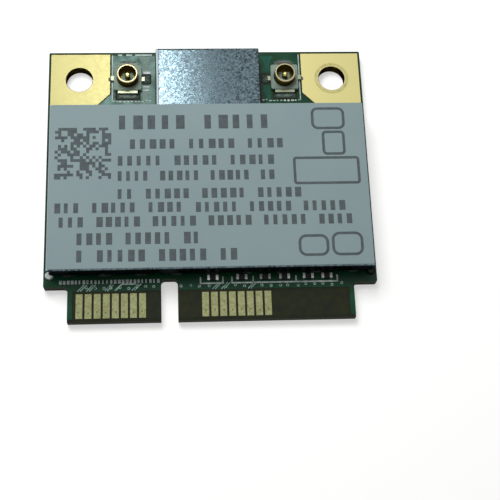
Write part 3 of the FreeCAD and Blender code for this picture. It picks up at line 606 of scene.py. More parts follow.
def strip(path, width, low, high, closed=False):
    """A flat strip along a path. Each side lies half a width along the mitre, which is the sum of the
    two neighbouring unit normals over one plus their dot product."""
    path = np.asarray(path, float)
    runs = np.roll(path, -1, axis=0) - path
    runs /= np.linalg.norm(runs, axis=1, keepdims=True)
    after = np.stack([-runs[:, 1], runs[:, 0]], axis=1)
    before = np.roll(after, 1, axis=0)
    if not closed:
        after[-1] = before[-1]
        before[0] = after[0]
    mitre = (before + after) / (1 + np.sum(before * after, axis=1, keepdims=True))
    left_side = path + mitre * width / 2
    right_side = path - mitre * width / 2
    plan = np.stack([right_side, right_side, left_side, left_side], axis=1)
    tall = np.broadcast_to([low, high, high, low], plan.shape[:2])
    points = np.concatenate([plan, tall[..., None]], axis=2).reshape(-1, 3)
    index = np.arange(len(points)).reshape(-1, 4)
    ahead = np.roll(index, -1, axis=0)
    sides = np.stack([index, ahead, np.roll(ahead, -1, axis=1), np.roll(index, -1, axis=1)], axis=-1)
    if closed:
        return points, [sides.reshape(-1, 4)]
    return points, [sides[:-1].reshape(-1, 4), index[:1], index[-1:, ::-1]]


def together(shapes):
    """Several shapes as one: their points in a row, and each one's faces counted on from its first."""
    first = np.cumsum([0] + [len(points) for points, faces in shapes[:-1]])
    points = np.concatenate([points for points, faces in shapes])
    faces = [part + start for (_, parts), start in zip(shapes, first) for part in parts]
    return points, faces


print("a block has", len(blocks(0, 1, 0, 1, 0, 1)[0]), "points")

# %% [markdown]
# ## Rows on the label
# The print is a thin layer of ink on the film, made of plain marks only. Most of it is rows of small bars.
# Bars that differ a little in width read as print from a step away, so each fills a random share of an even
# pitch.

# %% Rows on the label
# Rows of bars, from the label's centre line: left end, right end, middle height, bar height, bars
PRINT_ROWS = [(-8.2, 7.5, 4.95, 1.4, 12), (-8.1, 7.2, 2.75, 0.95, 17), (-8.3, 7.1, 1.1, 0.95, 18),
              (-8.3, 6.2, -0.4, 0.95, 19), (-8.3, 9.4, -2.15, 0.95, 21), (-13.9, -2.2, -3.45, 0.95, 14),
              (-1.3, 13.3, -3.5, 0.95, 18), (-13.5, 13.1, -4.8, 0.95, 32), (-11.9, -0.7, -6.4, 1.1, 13),
              (-11.9, 2.6, -8.0, 1.1, 16)]
BAR_FILL = (0.4, 0.7)
BARS_IN_GROUP = 5


def bar_row(start, end, middle, tall, count):
    """Bars on an even pitch, each filling a random share of it, with a gap after every few."""
    number = np.arange(count)
    number = number[(number + count) % (BARS_IN_GROUP + 1) != BARS_IN_GROUP]
    pitch = (end - start) / count
    bar_left = start + pitch * number
    bar_right = bar_left + pitch * rng.uniform(*BAR_FILL, len(number))
    return blocks(bar_left, bar_right, middle - tall / 2, middle + tall / 2, film_top, label_high[2])


rows = [bar_row(*row) for row in PRINT_ROWS]
print("rows of bars on the label:", len(rows))

# %% [markdown]
# ## Cells and frames on the label
# The rest of the print is a square of cells drawn at random, which stands for nothing, and a few empty
# frames. Only the filled cells are made, all in one array, and the frames are closed strips on rounded
# outlines.

# %% Cells and frames on the label
SQUARE_LEFT = -14.0
SQUARE_FRONT = -0.65
SQUARE_SIZE = 5.1
SQUARE_CELLS = 18
FILLED_SHARE = 0.5
# Empty frames: left, right, front, back edge and corner radius
PRINT_FRAMES = [(9.7, 12.6, 4.2, 6.2, 0.5), (10.6, 12.5, 1.6, 3.8, 0.3), (7.8, 13.7, -1.3, 1.2, 0.2),
                (7.9, 10.4, -8.2, -6.4, 0.6), (10.9, 13.5, -8.2, -6.2, 0.6)]
FRAME_LINE = 0.25
cell = SQUARE_SIZE / SQUARE_CELLS
across, along = np.nonzero(rng.random((SQUARE_CELLS, SQUARE_CELLS)) < FILLED_SHARE)
cell_left = SQUARE_LEFT + cell * across
cell_front = SQUARE_FRONT + cell * along
filled = blocks(cell_left, cell_left + cell, cell_front, cell_front + cell, film_top, label_high[2])
frames = [strip(rounded_rectangle(*edges)[0], FRAME_LINE, film_top, label_high[2], closed=True)
          for edges in PRINT_FRAMES]
# Thermal transfer ink: dark grey and flat.
print_ink = two_tone("thermal transfer ink", "#434C4F", "#535D60", 0.5, IOR=1.5, Roughness=0.6)
make_piece("label_print", together(rows + [filled] + frames), print_ink)

# %% [markdown]
# ## Contact ends
# The contacts narrow at the back into their tracks. A line of resist covers those necks, so that the visible
# contacts end square, a little before the green mask begins. One block for each group is all that it takes.

# %% Resist over the contacts' necks
MASK_EDGE = FRONT + 2.8
MASK_STEP = 0.05
RESIST_LINE = 0.24
RESIST_SIDE = 0.42
RESIST_RISE = 0.004
group_left = upper_x[[0, GROUP]] - RESIST_SIDE
group_right = upper_x[[GROUP - 1, -1]] + RESIST_SIDE
resist = blocks(group_left, group_right, MASK_EDGE - RESIST_LINE, MASK_EDGE, BOARD_TOP - MASK_STEP,
                upper_high[2] + RESIST_RISE)
make_piece("contact_resist", resist, bare_laminate)

# %% [markdown]
# ## Tracks
# Pairs of copper tracks leave some of the contacts under the mask, where a track is a low, lighter rib
# with pale patches that are painted glints; the other contacts go straight down through vias. Each track is a
# flat strip of its own, up from its contact and then aside at half a right angle. One more turns and runs
# along the card.

# %% Tracks on the upper face
RELIEF = 0.012
TRACK_WIDTH = 0.08
WIDE_TRACK = 0.14
PAIR_OFFSET = 0.12
TRACK_START = 0.06
STEP_ASIDE = 0.56
LEADS = [0, 1, 3, 6, 9, 10, 13]
SIDE_TRACK = 4
SIDE_TRACK_END = 1.3
# The mask on a track is a lighter green, and its pale patches are painted glints.
track_mask_and_glints = two_tone("solder mask on tracks, painted glints", "#2F7766", "#C6E0DA", 0.35, IOR=1.5, Roughness=0.2)
lead_x = np.concatenate([upper_x[LEADS] - PAIR_OFFSET, upper_x[LEADS] + PAIR_OFFSET])
turns = np.array([(0, 0), (0, TRACK_START), (STEP_ASIDE, TRACK_START + STEP_ASIDE)])
paths = np.column_stack([lead_x, np.full(len(lead_x), MASK_EDGE)])[:, None] + turns
side_turns = np.concatenate([turns, turns[-1:] + (SIDE_TRACK_END, 0)])
side_path = side_turns + (upper_x[SIDE_TRACK], MASK_EDGE)
tracks = [strip(path, TRACK_WIDTH, BOARD_TOP, BOARD_TOP + RELIEF) for path in paths]
tracks.append(strip(side_path, WIDE_TRACK, BOARD_TOP, BOARD_TOP + RELIEF))
make_piece("upper_tracks", together(tracks), track_mask_and_glints)

# %% [markdown]
# ## Vias
# Plated vias take the tracks through the board. Each is a ring with a rounded rim round a dark hole, turned
# from a small section, and a row of them stands between the contacts and the shield, a little out of line.

# %% Vias on the upper face
VIA_RADIUS = 0.14
VIA_HOLE = 0.07
VIA_RIM = 0.02
VIA_STEPS = 14
VIA_ERROR = 0.09
# Ends of each row and its vias; the rows lie just behind the mask's edge
VIA_ROWS = [(-11.2, -5.2, 9), (-2.7, 11.7, 19)]
VIA_ROW_Y = MASK_EDGE + 0.3


def via_section(low, high):
    """A ring's closed section: up the outside, over a rounded rim, and down the inside."""
    rim = (high - low) / 2
    return [(VIA_RADIUS, low), (VIA_RADIUS, high - rim), (VIA_RADIUS - rim, high), (VIA_HOLE + rim, high),
            (VIA_HOLE, high - rim), (VIA_HOLE, low)]


# Tin over copper under a veil of mask: grey green, with pale patches that are painted glints.
via_tin_and_glints = two_tone("plated via, painted glints", "#17372B", "#B4CCC2", 0.13, Metallic=1.0, Roughness=0.4)
via_x = np.concatenate([np.linspace(*ends) for ends in VIA_ROWS])
via_places = np.column_stack([via_x, np.full(len(via_x), VIA_ROW_Y)])
via_places = via_places + rng.uniform(-VIA_ERROR, VIA_ERROR, via_places.shape)
upper_ring = via_section(BOARD_TOP, BOARD_TOP + VIA_RIM)
upper_via_shape = turned(via_places, upper_ring, VIA_STEPS)
make_piece("upper_vias", upper_via_shape, via_tin_and_glints, smooth=True)

# %% [markdown]
# ## Ground copper beside the sockets
# Beside each socket the ground copper fills what the tracks leave free, and its edge keeps round clearances
# from its neighbours. A pour is a flat sheet whose outline is cut by arcs, and the other side of the card has
# the same outline mirrored. Mirroring an outline turns it round, so its points are put back in order.

# %% Copper pours
base_low, base_high = box_mm("antenna_base_right")
SOCKET_X, SOCKET_Y = (base_low + base_high)[:2] / 2
POUR_BY_SOCKET = 6.1
POUR_BY_TONGUE = 5.2
POUR_FRONT = SOCKET_Y - 3.3
POUR_BACK = SOCKET_Y + 2.45
POUR_SHOULDER = SOCKET_Y + 1.6
FRONT_STEP = 0.3
BACK_STEP = 0.4
TAIL_GAP = 0.75
# Round clearances in the left pours: x and y of the centre, radius, first and last angle
FRONT_CLEARANCE = (-POUR_BY_TONGUE + 0.35, SOCKET_Y - 2.1, 0.9, 250, 130)
BACK_CLEARANCE = (-POUR_BY_TONGUE + 0.2, SOCKET_Y + 1.6, 0.6, 240, 130)
ARC_STEPS = 12


def arc(x, y, radius, start, end):
    """Points on a circle between two angles in degrees."""
    angle = np.radians(np.linspace(start, end, ARC_STEPS))
    return np.column_stack([x + radius * np.cos(angle), y + radius * np.sin(angle)])


def flat_sheet(outline):
    """A low sheet with upright sides on any outline that runs anticlockwise."""
    return sheet(outline, np.zeros_like(outline), [(0, BOARD_TOP), (0, BOARD_TOP + RELIEF / 2)])


def other_side(outline):
    """The same outline on the other side of the card, still anticlockwise."""
    return (outline * (-1, 1))[::-1]


# The same mask where copper shines through it: lighter.
copper_mask = two_tone("solder mask over copper", "#0A4834", "#1E604C", 0.7, Roughness=0.18, **WEAVE)
front_pour = np.concatenate([
    [(-POUR_BY_SOCKET, POUR_FRONT), (-POUR_BY_TONGUE, POUR_FRONT)],
    arc(*FRONT_CLEARANCE)[1:],
    [(-POUR_BY_TONGUE - FRONT_STEP, SOCKET_Y - TAIL_GAP), (-POUR_BY_SOCKET, SOCKET_Y - TAIL_GAP)]])
back_pour = np.concatenate([
    [(-POUR_BY_SOCKET, SOCKET_Y + TAIL_GAP), (-POUR_BY_TONGUE, SOCKET_Y + TAIL_GAP)],
    arc(*BACK_CLEARANCE)[1:],
    [(-POUR_BY_TONGUE, POUR_BACK), (-POUR_BY_SOCKET - BACK_STEP, POUR_BACK),
     (-POUR_BY_SOCKET, POUR_SHOULDER)]])
pours = [flat_sheet(turn(outline)) for outline in (front_pour, back_pour) for turn in (np.array, other_side)]
make_piece("copper_pours", together(pours), copper_mask)

# %% [markdown]
# ## Glare film
# A pale film on the mask beside the left socket, up to the land and along the land's cut corner, is a painted
# glare of the lamp. A milky layer over the mask's shader would do it too; a thin sheet of its own has a true
# edge, and the pours stand up through it.

# %% Painted glare beside the left socket
GLARE_GAP = 0.15
GLARE_RIGHT = -4.9
GLARE_BACK = SOCKET_Y + 2.55
GLARE_FILM = RELIEF / 4
LAND_CHAMFER = 1.4
land_low, land_high = box_mm("screw_land_left")
glare_left = land_high[0] + GLARE_GAP
glare_front = land_low[1]
# Painted glare: pale in patches, with the green of the mask between them.
painted_glare = two_tone("painted glare on solder mask", "#0A3B2C", "#78A097", 1.3, Roughness=0.3, **WEAVE)
glare_outline = np.array([(glare_left - LAND_CHAMFER, glare_front), (GLARE_RIGHT, glare_front),
                         (GLARE_RIGHT, GLARE_BACK), (glare_left, GLARE_BACK),
                         (glare_left, glare_front + LAND_CHAMFER)])
glare_section = [(0, BOARD_TOP), (0, BOARD_TOP + GLARE_FILM)]
glare_shape = sheet(glare_outline, np.zeros_like(glare_outline), glare_section)
make_piece("glare_film", glare_shape, painted_glare)

# %% [markdown]
# ## Gaps round the pads
# The mask keeps a small distance from the pads of the inner tail and of the front foot, and the laminate in
# those gaps looks like a dark outline. Each is a closed strip in the laminate's own finish.

# %% Gaps round the pads
PAD_GAP = 0.18
PAD_CORNER = 0.12
# Left, right, front and back edge of each gap beside the left socket
PAD_FRAMES = [(-6.12, -5.35, SOCKET_Y - 0.48, SOCKET_Y + 0.48), (-8.6, -6.4, SOCKET_Y - 2.14, SOCKET_Y - 1.5)]
pad_outlines = [rounded_rectangle(*edges, PAD_CORNER)[0] for edges in PAD_FRAMES]
gaps = [strip(turn(outline), PAD_GAP, BOARD_TOP, BOARD_TOP + RELIEF, closed=True)
        for outline in pad_outlines for turn in (np.array, other_side)]
make_piece("pad_gaps", together(gaps), bare_laminate)

# %% [markdown]
# ## Pads
# Within those gaps lie the pads themselves, thinly tinned and painted dark as painted shade where no foot
# covers them. They are the gaps' own rectangles, filled.

# %% Pads of the sockets
# Tin on the pads, painted a dark, grainy grey with a green cast as painted shade.
shaded_pad_tin = two_tone("pads of tin, painted shade", "#1C2925", "#4B5A54", 0.25, Metallic=1.0, Roughness=0.5)
pad_left, pad_right, pad_front, pad_back = np.array(PAD_FRAMES).T
pads = [blocks(pad_left, pad_right, pad_front, pad_back, BOARD_TOP, BOARD_TOP + RELIEF / 2),
        blocks(-pad_right, -pad_left, pad_front, pad_back, BOARD_TOP, BOARD_TOP + RELIEF / 2)]
make_piece("socket_pads", together(pads), shaded_pad_tin)

# %% [markdown]
# ## Tracks on the underside
# Nothing stands on the underside, but tracks leave each lower contact there, step sideways at half a right
# angle and end on vias. They lie in the room that the board's copy keeps above the floor, and their lengths
# follow from the contact's number, so that neighbours differ.

# %% Tracks on the underside
LEFT_LOWER = 8
KEY_STEPS = 4
LOWER_STEPS_ASIDE = np.array([0.3, 0.9, -0.5, 0.6, -0.9, 0.4])
# A track turns after one of four lengths and ends after one of seven, both in even steps
TURN_FROM = 0.8
TURN_STEP = 0.7
TURNS = 4
END_FROM = 3.2
END_STEP = 1.9
ENDS = 7
END_STRIDE = 5
LOWER_TRACK_FACE = 0.004
lower_low, lower_high = box_mm("lower_contacts")
last = round((lower_high[0] - lower_low[0] - CONTACT_WIDTH) / CONTACT_PITCH)
number = np.arange(last + 1)
number = number[(number < LEFT_LOWER) | (number >= LEFT_LOWER + KEY_STEPS)]
lower_x = lower_low[0] + CONTACT_WIDTH / 2 + CONTACT_PITCH * number
order = np.arange(len(lower_x))
aside = LOWER_STEPS_ASIDE[order % len(LOWER_STEPS_ASIDE)]
lower_turn = MASK_EDGE + TURN_FROM + TURN_STEP * (order % TURNS)
lower_end = MASK_EDGE + END_FROM + END_STEP * (order * END_STRIDE % ENDS)
lower_paths = np.stack([
    np.column_stack([lower_x, np.full(len(lower_x), MASK_EDGE)]), np.column_stack([lower_x, lower_turn]),
    np.column_stack([lower_x + aside, lower_turn + np.abs(aside)]),
    np.column_stack([lower_x + aside, lower_end])], axis=1)
lower_tracks = [strip(path, TRACK_WIDTH, LOWER_TRACK_FACE, UNDERSIDE_ROOM) for path in lower_paths]
make_piece("lower_tracks", together(lower_tracks), copper_mask)

# %% [markdown]
# ## Vias on the underside
# The same plated rings as on the upper face end the tracks, and rows of them stitch the ground layers
# together along the card's edges. One call makes them all.

# %% Vias on the underside
STITCH_PITCH = 1.3
STITCH_SIDE = 14.3
STITCH_BACK = BACK - 0.6
STITCH_SIDE_ENDS = (FRONT + 4.0, BACK - 6.2)
STITCH_BACK_ENDS = (-8.6, 8.7)
side_y = np.arange(*STITCH_SIDE_ENDS, STITCH_PITCH)
back_x = np.arange(*STITCH_BACK_ENDS, STITCH_PITCH)
stitches = [np.column_stack([np.full(len(side_y), side), side_y]) for side in (-STITCH_SIDE, STITCH_SIDE)]
stitches.append(np.column_stack([back_x, np.full(len(back_x), STITCH_BACK)]))
lower_places = np.concatenate([lower_paths[:, -1]] + stitches)
lower_ring = via_section(board_low[2], UNDERSIDE_ROOM)
lower_via_shape = turned(lower_places, lower_ring, VIA_STEPS)
make_piece("lower_vias", lower_via_shape, via_tin_and_glints, smooth=True)

# %% [markdown]
# ## Silkscreen before the shield
# White epoxy ink brackets the row of chips in front of the shield, and small uprights stand left of the key
# slot. The ink stands hardly higher than the tracks, with upright edges, so strips and blocks are its true
# shape.

# %% Silkscreen before the shield
SILK_OVER_TRACKS = 0.006
SILK_TOP = BOARD_TOP + RELIEF + SILK_OVER_TRACKS
SILK_LINE = 0.14
BRACKET_Y = FRONT + 3.36
BRACKET_TOP = FRONT + 3.95
SMALL_BRACKET = (-1.0, 1.0)
LONG_BRACKET_TICKS = (1.82, 3.73, 7.61, 11.36)
UPRIGHTS = 26
UPRIGHT_ENDS = (-13.6, -4.9)
UPRIGHT_WIDTH = (0.12, 0.26)
UPRIGHT_FRONT = FRONT + 3.5
UPRIGHT_BACK = FRONT + 3.85


def bracket(start, end):
    """A line with both ends turned back towards the shield."""
    path = [(start, BRACKET_TOP), (start, BRACKET_Y), (end, BRACKET_Y), (end, BRACKET_TOP)]
    return strip(path, SILK_LINE, BOARD_TOP, SILK_TOP)


# Epoxy ink: white, matte, thin enough in places to let the green through.
silk_ink = two_tone("silkscreen epoxy ink", "#9DB0AC", "#E6EDEB", 0.4, IOR=1.5, Roughness=0.6)
ticks = np.array(LONG_BRACKET_TICKS[1:-1])
upright_x = np.linspace(*UPRIGHT_ENDS, UPRIGHTS)
upright_end = upright_x + rng.uniform(*UPRIGHT_WIDTH, UPRIGHTS)
front_silk = [
    bracket(*SMALL_BRACKET), bracket(LONG_BRACKET_TICKS[0], LONG_BRACKET_TICKS[-1]),
    blocks(ticks - SILK_LINE / 2, ticks + SILK_LINE / 2, BRACKET_Y, BRACKET_TOP, BOARD_TOP, SILK_TOP),
    blocks(upright_x, upright_end, UPRIGHT_FRONT, UPRIGHT_BACK, BOARD_TOP, SILK_TOP)]
make_piece("front_silkscreen", together(front_silk), silk_ink)

# %% [markdown]
# ## Silkscreen round the sockets
# Each antenna socket stands in an outline of white ink: a line beside its land, and a row of small marks
# before it that the label's edge has half rubbed off. The left one also has dashes behind it and short bars
# by its inner tail.

# %% Silkscreen round the sockets
SOCKET_LINE = 8.98
SOCKET_LINE_WIDTH = 0.09
SILK_FRONT = BACK - 5.2
SILK_BACK = BACK - 0.28
# Inner end, outer end, middle height and thickness of each dash by the left socket
SOCKET_DASHES = [(8.05, 8.45, SILK_BACK, 0.16), (7.1, 7.65, SILK_BACK, 0.16), (5.2, 6.8, SILK_BACK, 0.16),
                 (5.3, 6.05, SOCKET_Y + 0.7, 0.24), (5.45, 6.1, SOCKET_Y - 0.8, 0.12),
                 (5.5, 6.1, SOCKET_Y - 1.15, 0.1)]
RUBBED_MARKS = 11
RUBBED_ENDS = (5.3, 8.75)
RUBBED_LENGTH = (0.14, 0.33)
RUBBED_ERROR = 0.07
RUBBED_HALF = (0.04, 0.1)
inner, outer, dash_y, thick = np.array(SOCKET_DASHES).T
dashes = blocks(-outer, -inner, dash_y - thick / 2, dash_y + thick / 2, BOARD_TOP, SILK_TOP)
rubbed_x = np.linspace(*RUBBED_ENDS, RUBBED_MARKS)
rubbed_end = rubbed_x + rng.uniform(*RUBBED_LENGTH, RUBBED_MARKS)
rubbed_y = SILK_FRONT + rng.uniform(-RUBBED_ERROR, RUBBED_ERROR, RUBBED_MARKS)
rubbed_half = rng.uniform(*RUBBED_HALF, RUBBED_MARKS)
rubbed_edges = (rubbed_y - rubbed_half, rubbed_y + rubbed_half, BOARD_TOP, SILK_TOP)
line_x = np.array([-SOCKET_LINE, SOCKET_LINE])
line_edges = (line_x - SOCKET_LINE_WIDTH / 2, line_x + SOCKET_LINE_WIDTH / 2)
socket_silk = [dashes, blocks(-rubbed_end, -rubbed_x, *rubbed_edges),
               blocks(rubbed_x, rubbed_end, *rubbed_edges),
               blocks(*line_edges, SILK_FRONT, SILK_BACK, BOARD_TOP, SILK_TOP)]
make_piece("socket_silkscreen", together(socket_silk), silk_ink)

# %% [markdown]
# ## Sockets
# Each antenna socket is a gold-plated ring on a pale moulding of liquid-crystal polymer, with a pin in the
# middle. The solids have the right form, so they only need their finishes. Faces that look up near the top,
# the lip and the pin's tip, are pale, partly rubbed by plugs and partly a painted highlight; the walls are
# painted dark brown as painted shade. Solder has wetted the feet, pale in front and darker behind. The slope
# and the place of a face tell these apart.

# %% Socket gold and polymer
WETTED_TO = 1.31
PALE_TOP_FROM = 1.9
SOFT_EDGE = 0.05
LIP_SLOPE = (0.5, 0.95)
REAR_FOOT = SOCKET_Y + 1.2
WETTED_FRONT = "#949A82"
WETTED_REAR = "#4E524A"


def worn_and_painted_gold(name, walls, tops):
    """Gold that is pale where a face looks up near the top, partly worn and partly a painted highlight,
    painted dark as painted shade elsewhere, and wetted by solder below the height that it reached."""
    made, tree, shader, place = start_material(name, Metallic=1.0, Roughness=0.3, **EDGE_TINT)
    position = add_node(tree, "SeparateXYZ", {"Vector": place}).outputs
    normal = add_node(tree, "NewGeometry").outputs["True Normal"]
    facing = add_node(tree, "SeparateXYZ", {"Vector": normal}).outputs
    inputs = {"Value": facing["Z"], "From Min": LIP_SLOPE[0], "From Max": LIP_SLOPE[1]}
    upward = add_node(tree, "MapRange", inputs).outputs[0]
    inputs = {"Value": position["Z"], "From Min": PALE_TOP_FROM * MM,
              "From Max": (PALE_TOP_FROM + SOFT_EDGE) * MM}
    high = add_node(tree, "MapRange", inputs).outputs[0]
    # Faces that look up near the top are pale, partly worn and partly a painted highlight; the rest is
    # painted dark as painted shade.
    rub_and_highlight = add_node(tree, "Math", {0: upward, 1: high}, operation="MULTIPLY").outputs[0]
    inputs = {"Factor": rub_and_highlight, COLOUR_A: srgb(walls), COLOUR_B: srgb(tops)}
    gold = add_node(tree, "Mix", inputs, data_type="RGBA").outputs[COLOUR_OUT]
    inputs = {"Value": position["Y"], "From Min": REAR_FOOT * MM, "From Max": (REAR_FOOT + SOFT_EDGE) * MM}
    rear = add_node(tree, "MapRange", inputs).outputs[0]
    inputs = {"Factor": rear, COLOUR_A: srgb(WETTED_FRONT), COLOUR_B: srgb(WETTED_REAR)}
    wetted = add_node(tree, "Mix", inputs, data_type="RGBA").outputs[COLOUR_OUT]
    inputs = {"Value": position["Z"], "From Min": WETTED_TO * MM, "From Max": (WETTED_TO + SOFT_EDGE) * MM}
    dry = add_node(tree, "MapRange", inputs).outputs[0]
    inputs = {"Factor": dry, COLOUR_A: wetted, COLOUR_B: gold}
    plating = add_node(tree, "Mix", inputs, data_type="RGBA")
    tree.links.new(plating.outputs[COLOUR_OUT], shader.inputs["Base Color"])
    return made


# Glass-filled liquid-crystal polymer: pale grey, matte, with short flow streaks.
polymer = two_tone("liquid-crystal polymer", "#718378", "#8DA093", 0.4, (0.4, 1.0, 1.0), IOR=1.6,
                   Roughness=0.6)
# Gold over bronze: a pale rim, partly worn and partly a painted highlight, on walls painted brown as
# painted shade, and a yellower pin with a pale tip.
shell_gold = worn_and_painted_gold("gold over bronze, worn lip, painted highlight and shade", "#64582A", "#AEA786")
pin_gold = worn_and_painted_gold("gold over bronze, worn tip, painted highlight and shade", "#6E6522", "#E6DE8E")
dress(shell_gold, "antenna_shell_left", "antenna_shell_right")
dress(pin_gold, "antenna_pin_left", "antenna_pin_right")
dress(polymer, "antenna_base_left", "antenna_base_right")

# %% [markdown]
# ## Forms of solder
# Molten solder climbs a foot and hollows between it and the board. The section of such a fillet is two
# arms, each falling as a square, and it shrinks at both ends. Carrying that section along the foot gives
# the real form, where the plain wedge of the solid has flat faces. Where more solder was left it stands as a
# dome.

# %% Fillets and domes
ALONG_STEPS = 15
ACROSS_STEPS = 7
END_SHARE = 0.2
BLOB_RADIUS = 0.42
BLOB_HEIGHT = 0.55
BLOB_STEPS = 24
BLOB_RINGS = 9
BLOB_CLIMB = 84


def fillets(places):
    """Rows are x, y, outward x, outward y, length, run and rise. The section goes from the corner out along
    the board and back up a hollow curve: out is the run times one minus v squared, up the rise times v
    squared. Along the foot it shrinks by the root of one minus most of the fourth power of u."""
    x, y, out_x, out_y, length, run, rise = np.array(places, float).T[..., None, None]
    u = np.linspace(-1, 1, ALONG_STEPS)[:, None]
    v = np.linspace(0, 1, ACROSS_STEPS)
    shrink = np.sqrt(1 - (1 - END_SHARE ** 2) * u ** 4)
    out = np.concatenate([[0], (1 - v) ** 2]) * shrink * run
    up = np.concatenate([[0], v ** 2]) * shrink * rise
    along = u * length / 2
    plan = [x + out_x * out - out_y * along, y + out_y * out + out_x * along]
    points = np.stack(plan + [BOARD_TOP + up], axis=-1)
    index = np.arange(points[..., 0].size).reshape(points.shape[:-1])
    ahead = np.roll(index, -1, axis=2)
    sides = np.stack([index[:, :-1], index[:, 1:], ahead[:, 1:], ahead[:, :-1]], axis=-1)
    return points.reshape(-1, 3), [sides.reshape(-1, 4), index[:, 0], index[:, -1, ::-1]]


def dome(x, y):
    """A round blob on the board: its inset and height follow a quarter of an ellipse, up to a small flat
    top."""
    angle = np.arange(BLOB_STEPS) * 2 * np.pi / BLOB_STEPS
    normal = np.column_stack([np.cos(angle), np.sin(angle)])
    climb = np.radians(np.linspace(0, BLOB_CLIMB, BLOB_RINGS))
    profile = np.column_stack([BLOB_RADIUS * (1 - np.cos(climb)), BOARD_TOP + BLOB_HEIGHT * np.sin(climb)])
    return sheet(np.array([x, y]) + BLOB_RADIUS * normal, normal, profile)


print("a dome has", BLOB_STEPS * BLOB_RINGS, "points")

# %% [markdown]
# ## Solder on the shield
# The shield's frame is soldered down at an even pitch all round its T, with a blob at each corner of the main
# bay. Placing each joint by hand would take long and leave none in line; here the walls are measured on the
# frame's solid and each is shared out evenly. The joints are painted near black as painted shade under the
# eaves; only the blob at the front left keeps the plain solder finish and is bright.

# %% Solder on the shield
FILLET = 0.25
FOOT_SOLDER = 1.2
FOOT_PITCH = 3.0
CORNER_ROOM = 1.0
BLOB_SHIFT = 0.1


def foot_rows(start, end):
    """Fillets at an even pitch along one wall of the frame, from corner to corner, on its outer side."""
    length = np.abs(end - start).sum()
    along = (end - start) / length
    count = max(1, int(length / FOOT_PITCH))
    middle = start + (end - start) * ((np.arange(count) + 0.5) / count)[:, None]
    return np.column_stack([middle, np.tile([along[1], -along[0], FOOT_SOLDER, FILLET, FILLET], (count, 1))])


# The frame's walls, from its own points: only the tongue reaches behind the label, and only the main bay
# reaches past the tongue's sides.
frame_points, _ = solid_arrays("shield_frame")
frame_x, frame_y, _ = frame_points.T
wall_left, wall_front, _ = frame_points.min(axis=0)
wall_right, tongue_back, _ = frame_points.max(axis=0)
tongue_x = frame_x[frame_y > label_high[1] + CORNER_ROOM]
tongue_left = tongue_x.min()
tongue_right = tongue_x.max()
beside_tongue = (frame_x < tongue_left - CORNER_ROOM) | (frame_x > tongue_right + CORNER_ROOM)
wall_back = frame_y[beside_tongue].max()
# The frame's corners, anticlockwise round the T
tee = np.array([(wall_left, wall_front), (wall_right, wall_front), (wall_right, wall_back),
                (tongue_right, wall_back), (tongue_right, tongue_back), (tongue_left, tongue_back),
                (tongue_left, wall_back), (wall_left, wall_back)])
feet = np.concatenate([foot_rows(start, end) for start, end in zip(tee, np.roll(tee, -1, axis=0))])
# The main bay's corners, with the front left one last, so that its blob's faces are the last ones
BLOB_CORNERS = [1, 2, 7, 0]
blobs = [dome(x + BLOB_SHIFT * np.sign(x), y + BLOB_SHIFT * np.sign(y)) for x, y in tee[BLOB_CORNERS]]
# Lead-free solder freezes with a grainy skin: a grey metal, between satin and bright.
solder = two_tone("lead-free solder", "#7A8180", "#BCC2C1", 0.3, Metallic=1.0, Roughness=0.38)
# The joints under the eaves are painted near black as painted shade, with a few grey grains.
shaded_solder = two_tone("lead-free solder under the eaves, painted shade", "#0C100F", "#262B2A", 0.35, Metallic=1.0,
                       Roughness=0.45, **DULL_EDGE)
joint_shape = together([fillets(feet)] + blobs)
shield_joints = make_piece("shield_joints", joint_shape, shaded_solder, smooth=True)
shield_joints.data.materials.append(solder)
# Only the front left blob keeps the plain solder; every other joint carries the painted shade.
bright_faces = sum(len(part) for part in blobs[-1][1])
joint_face = np.arange(len(shield_joints.data.polygons))
unshaded_blob = joint_face >= len(joint_face) - bright_faces
shield_joints.data.polygons.foreach_set("material_index", unshaded_blob.astype(np.int32))
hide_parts("shield_solder")
print("feet:", len(feet), "blobs:", len(blobs))

# %% [markdown]
# ## Solder on the sockets
# The sockets' two wide feet sit in long, low fillets, and their tails in short ones. They are the same
# hollow section as on the shield, so only a row of places is needed for each socket.

# %% Solder on the sockets
FOOT_REACH = 1.6
WIDE_FOOT = 1.85
WIDE_RUN = 0.45
TAIL = 0.45
PIN_RISE = 0.1
# Socket solder is painted a darker grey than on the blobs, as painted shade.
shaded_foot_solder = two_tone("lead-free solder on socket feet, painted shade", "#3F4B47", "#6E7A74", 0.3, Metallic=1.0, Roughness=0.42)
for name, side in (("left", -1), ("right", 1)):
    x = side * SOCKET_X
    joint_rows = [(x, SOCKET_Y + FOOT_REACH, 0, 1, WIDE_FOOT, WIDE_RUN, FILLET),
                  (x, SOCKET_Y - FOOT_REACH, 0, -1, WIDE_FOOT, WIDE_RUN, FILLET),
                  (x + side * FOOT_REACH, SOCKET_Y, side, 0, TAIL, FILLET, FILLET),
                  (x - side * FOOT_REACH, SOCKET_Y, -side, 0, TAIL, FILLET, PIN_RISE)]
    joints = make_piece("antenna_joints_" + name, fillets(joint_rows), shaded_foot_solder, smooth=True)
    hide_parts("antenna_solder_" + name)

# %% [markdown]
# ## Chips
# Six small chips stand in front of the shield, and the radio's own parts lie under it. All are plain
# solids that keep their shape and only get the finishes of their trades: moulded epoxy, fired ceramic,
# glaze, ferrite and tin.

# %% Chip finishes
# Moulded epoxy: black, matte, with the mould's fine spark-eroded grain.
epoxy = two_tone("black moulding epoxy", "#101112", "#1F2022", 0.08, IOR=1.55, Roughness=0.55)
# Fired glaze on chips: deep black, with a fine grain that swallows part of the mirrored light.
GRAINY = {"IOR": 1.5, "Specular_IOR_Level": 0.22}
glaze = two_tone("black overglaze", "#070708", "#101012", 0.2, Roughness=0.5, **GRAINY)
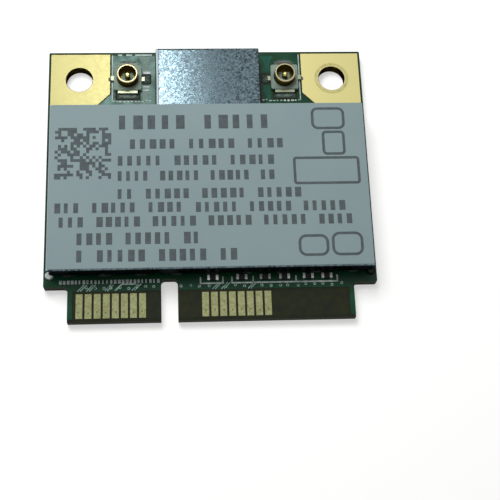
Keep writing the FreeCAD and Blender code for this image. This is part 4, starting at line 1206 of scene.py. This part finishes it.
# Pressed and fired powders: a dry, even, faintly speckled face, tan, dark grey or white.
tan_ceramic = two_tone("sintered tan ceramic", "#7A5A3C", "#957250", 0.1, IOR=1.6, Roughness=0.5)
ferrite = two_tone("pressed ferrite", "#232426", "#34363A", 0.1, IOR=1.8, Roughness=0.6)
alumina = two_tone("white alumina", "#C9C5BA", "#DEDAD0", 0.1, IOR=1.77, Roughness=0.45)
# Plated metal: nickel is warm and bright, barrel-plated tin whiter and matte.
nickel = two_tone("nickel-plated lid", "#A9A596", "#C6C2B4", 0.3, Metallic=1.0, Roughness=0.25)
cap_tin = two_tone("matte tin end caps", "#7D8486", "#B5BBBC", 0.15, Metallic=1.0, Roughness=0.35)
# The caps in front of the shield are painted dark as painted shade of the wall, and a few pale ones as
# painted glints.
shaded_cap_tin = two_tone("tin end caps, painted shade and glints", "#191715", "#D2D6D3", 2.9, Metallic=1.0, Roughness=0.35)
dress(epoxy, "wifi_chip", "power_amplifier", "memory_chip", "regulator", "antenna_switch")
dress(glaze, "line_chip_bodies", "resistor_bodies")
dress(tan_ceramic, "capacitor_bodies", "bulk_capacitor_bodies")
dress(ferrite, "power_inductor_core")
dress(alumina, "band_filter_body", "balun_body", "crystal_tray")
dress(nickel, "crystal_lid")
dress(cap_tin, *[name for name in nodes if name.endswith(("_ends", "_leads", "_terminals"))])
dress(shaded_cap_tin, "line_chip_ends")

# %% [markdown]
# ## Soft edges
# A solid has knife edges, and nothing real has. On the pieces that show from outside, a narrow bevel lets
# the edges catch the light. The solids arrive as loose triangles, so they are welded first, or the bevel
# would find no edge to work on.

# %% Soft edges
WELD_REACH = 0.001
BEVEL_WIDTH = 0.03
BEVEL_SEGMENTS = 2


def soften(width, *names):
    """Joins the loose triangles of solids and breaks their edges by a narrow bevel."""
    for name in names:
        weld = nodes[name].modifiers.new("weld", "WELD")
        weld.merge_threshold = WELD_REACH * MM
        bevel = nodes[name].modifiers.new("bevel", "BEVEL")
        bevel.width = width * MM
        bevel.segments = BEVEL_SEGMENTS
        bevel.limit_method = "ANGLE"
    print(width, "mm bevel on", ", ".join(names))


soften(BEVEL_WIDTH, "line_chip_bodies", "line_chip_ends", "antenna_base_left", "antenna_base_right")
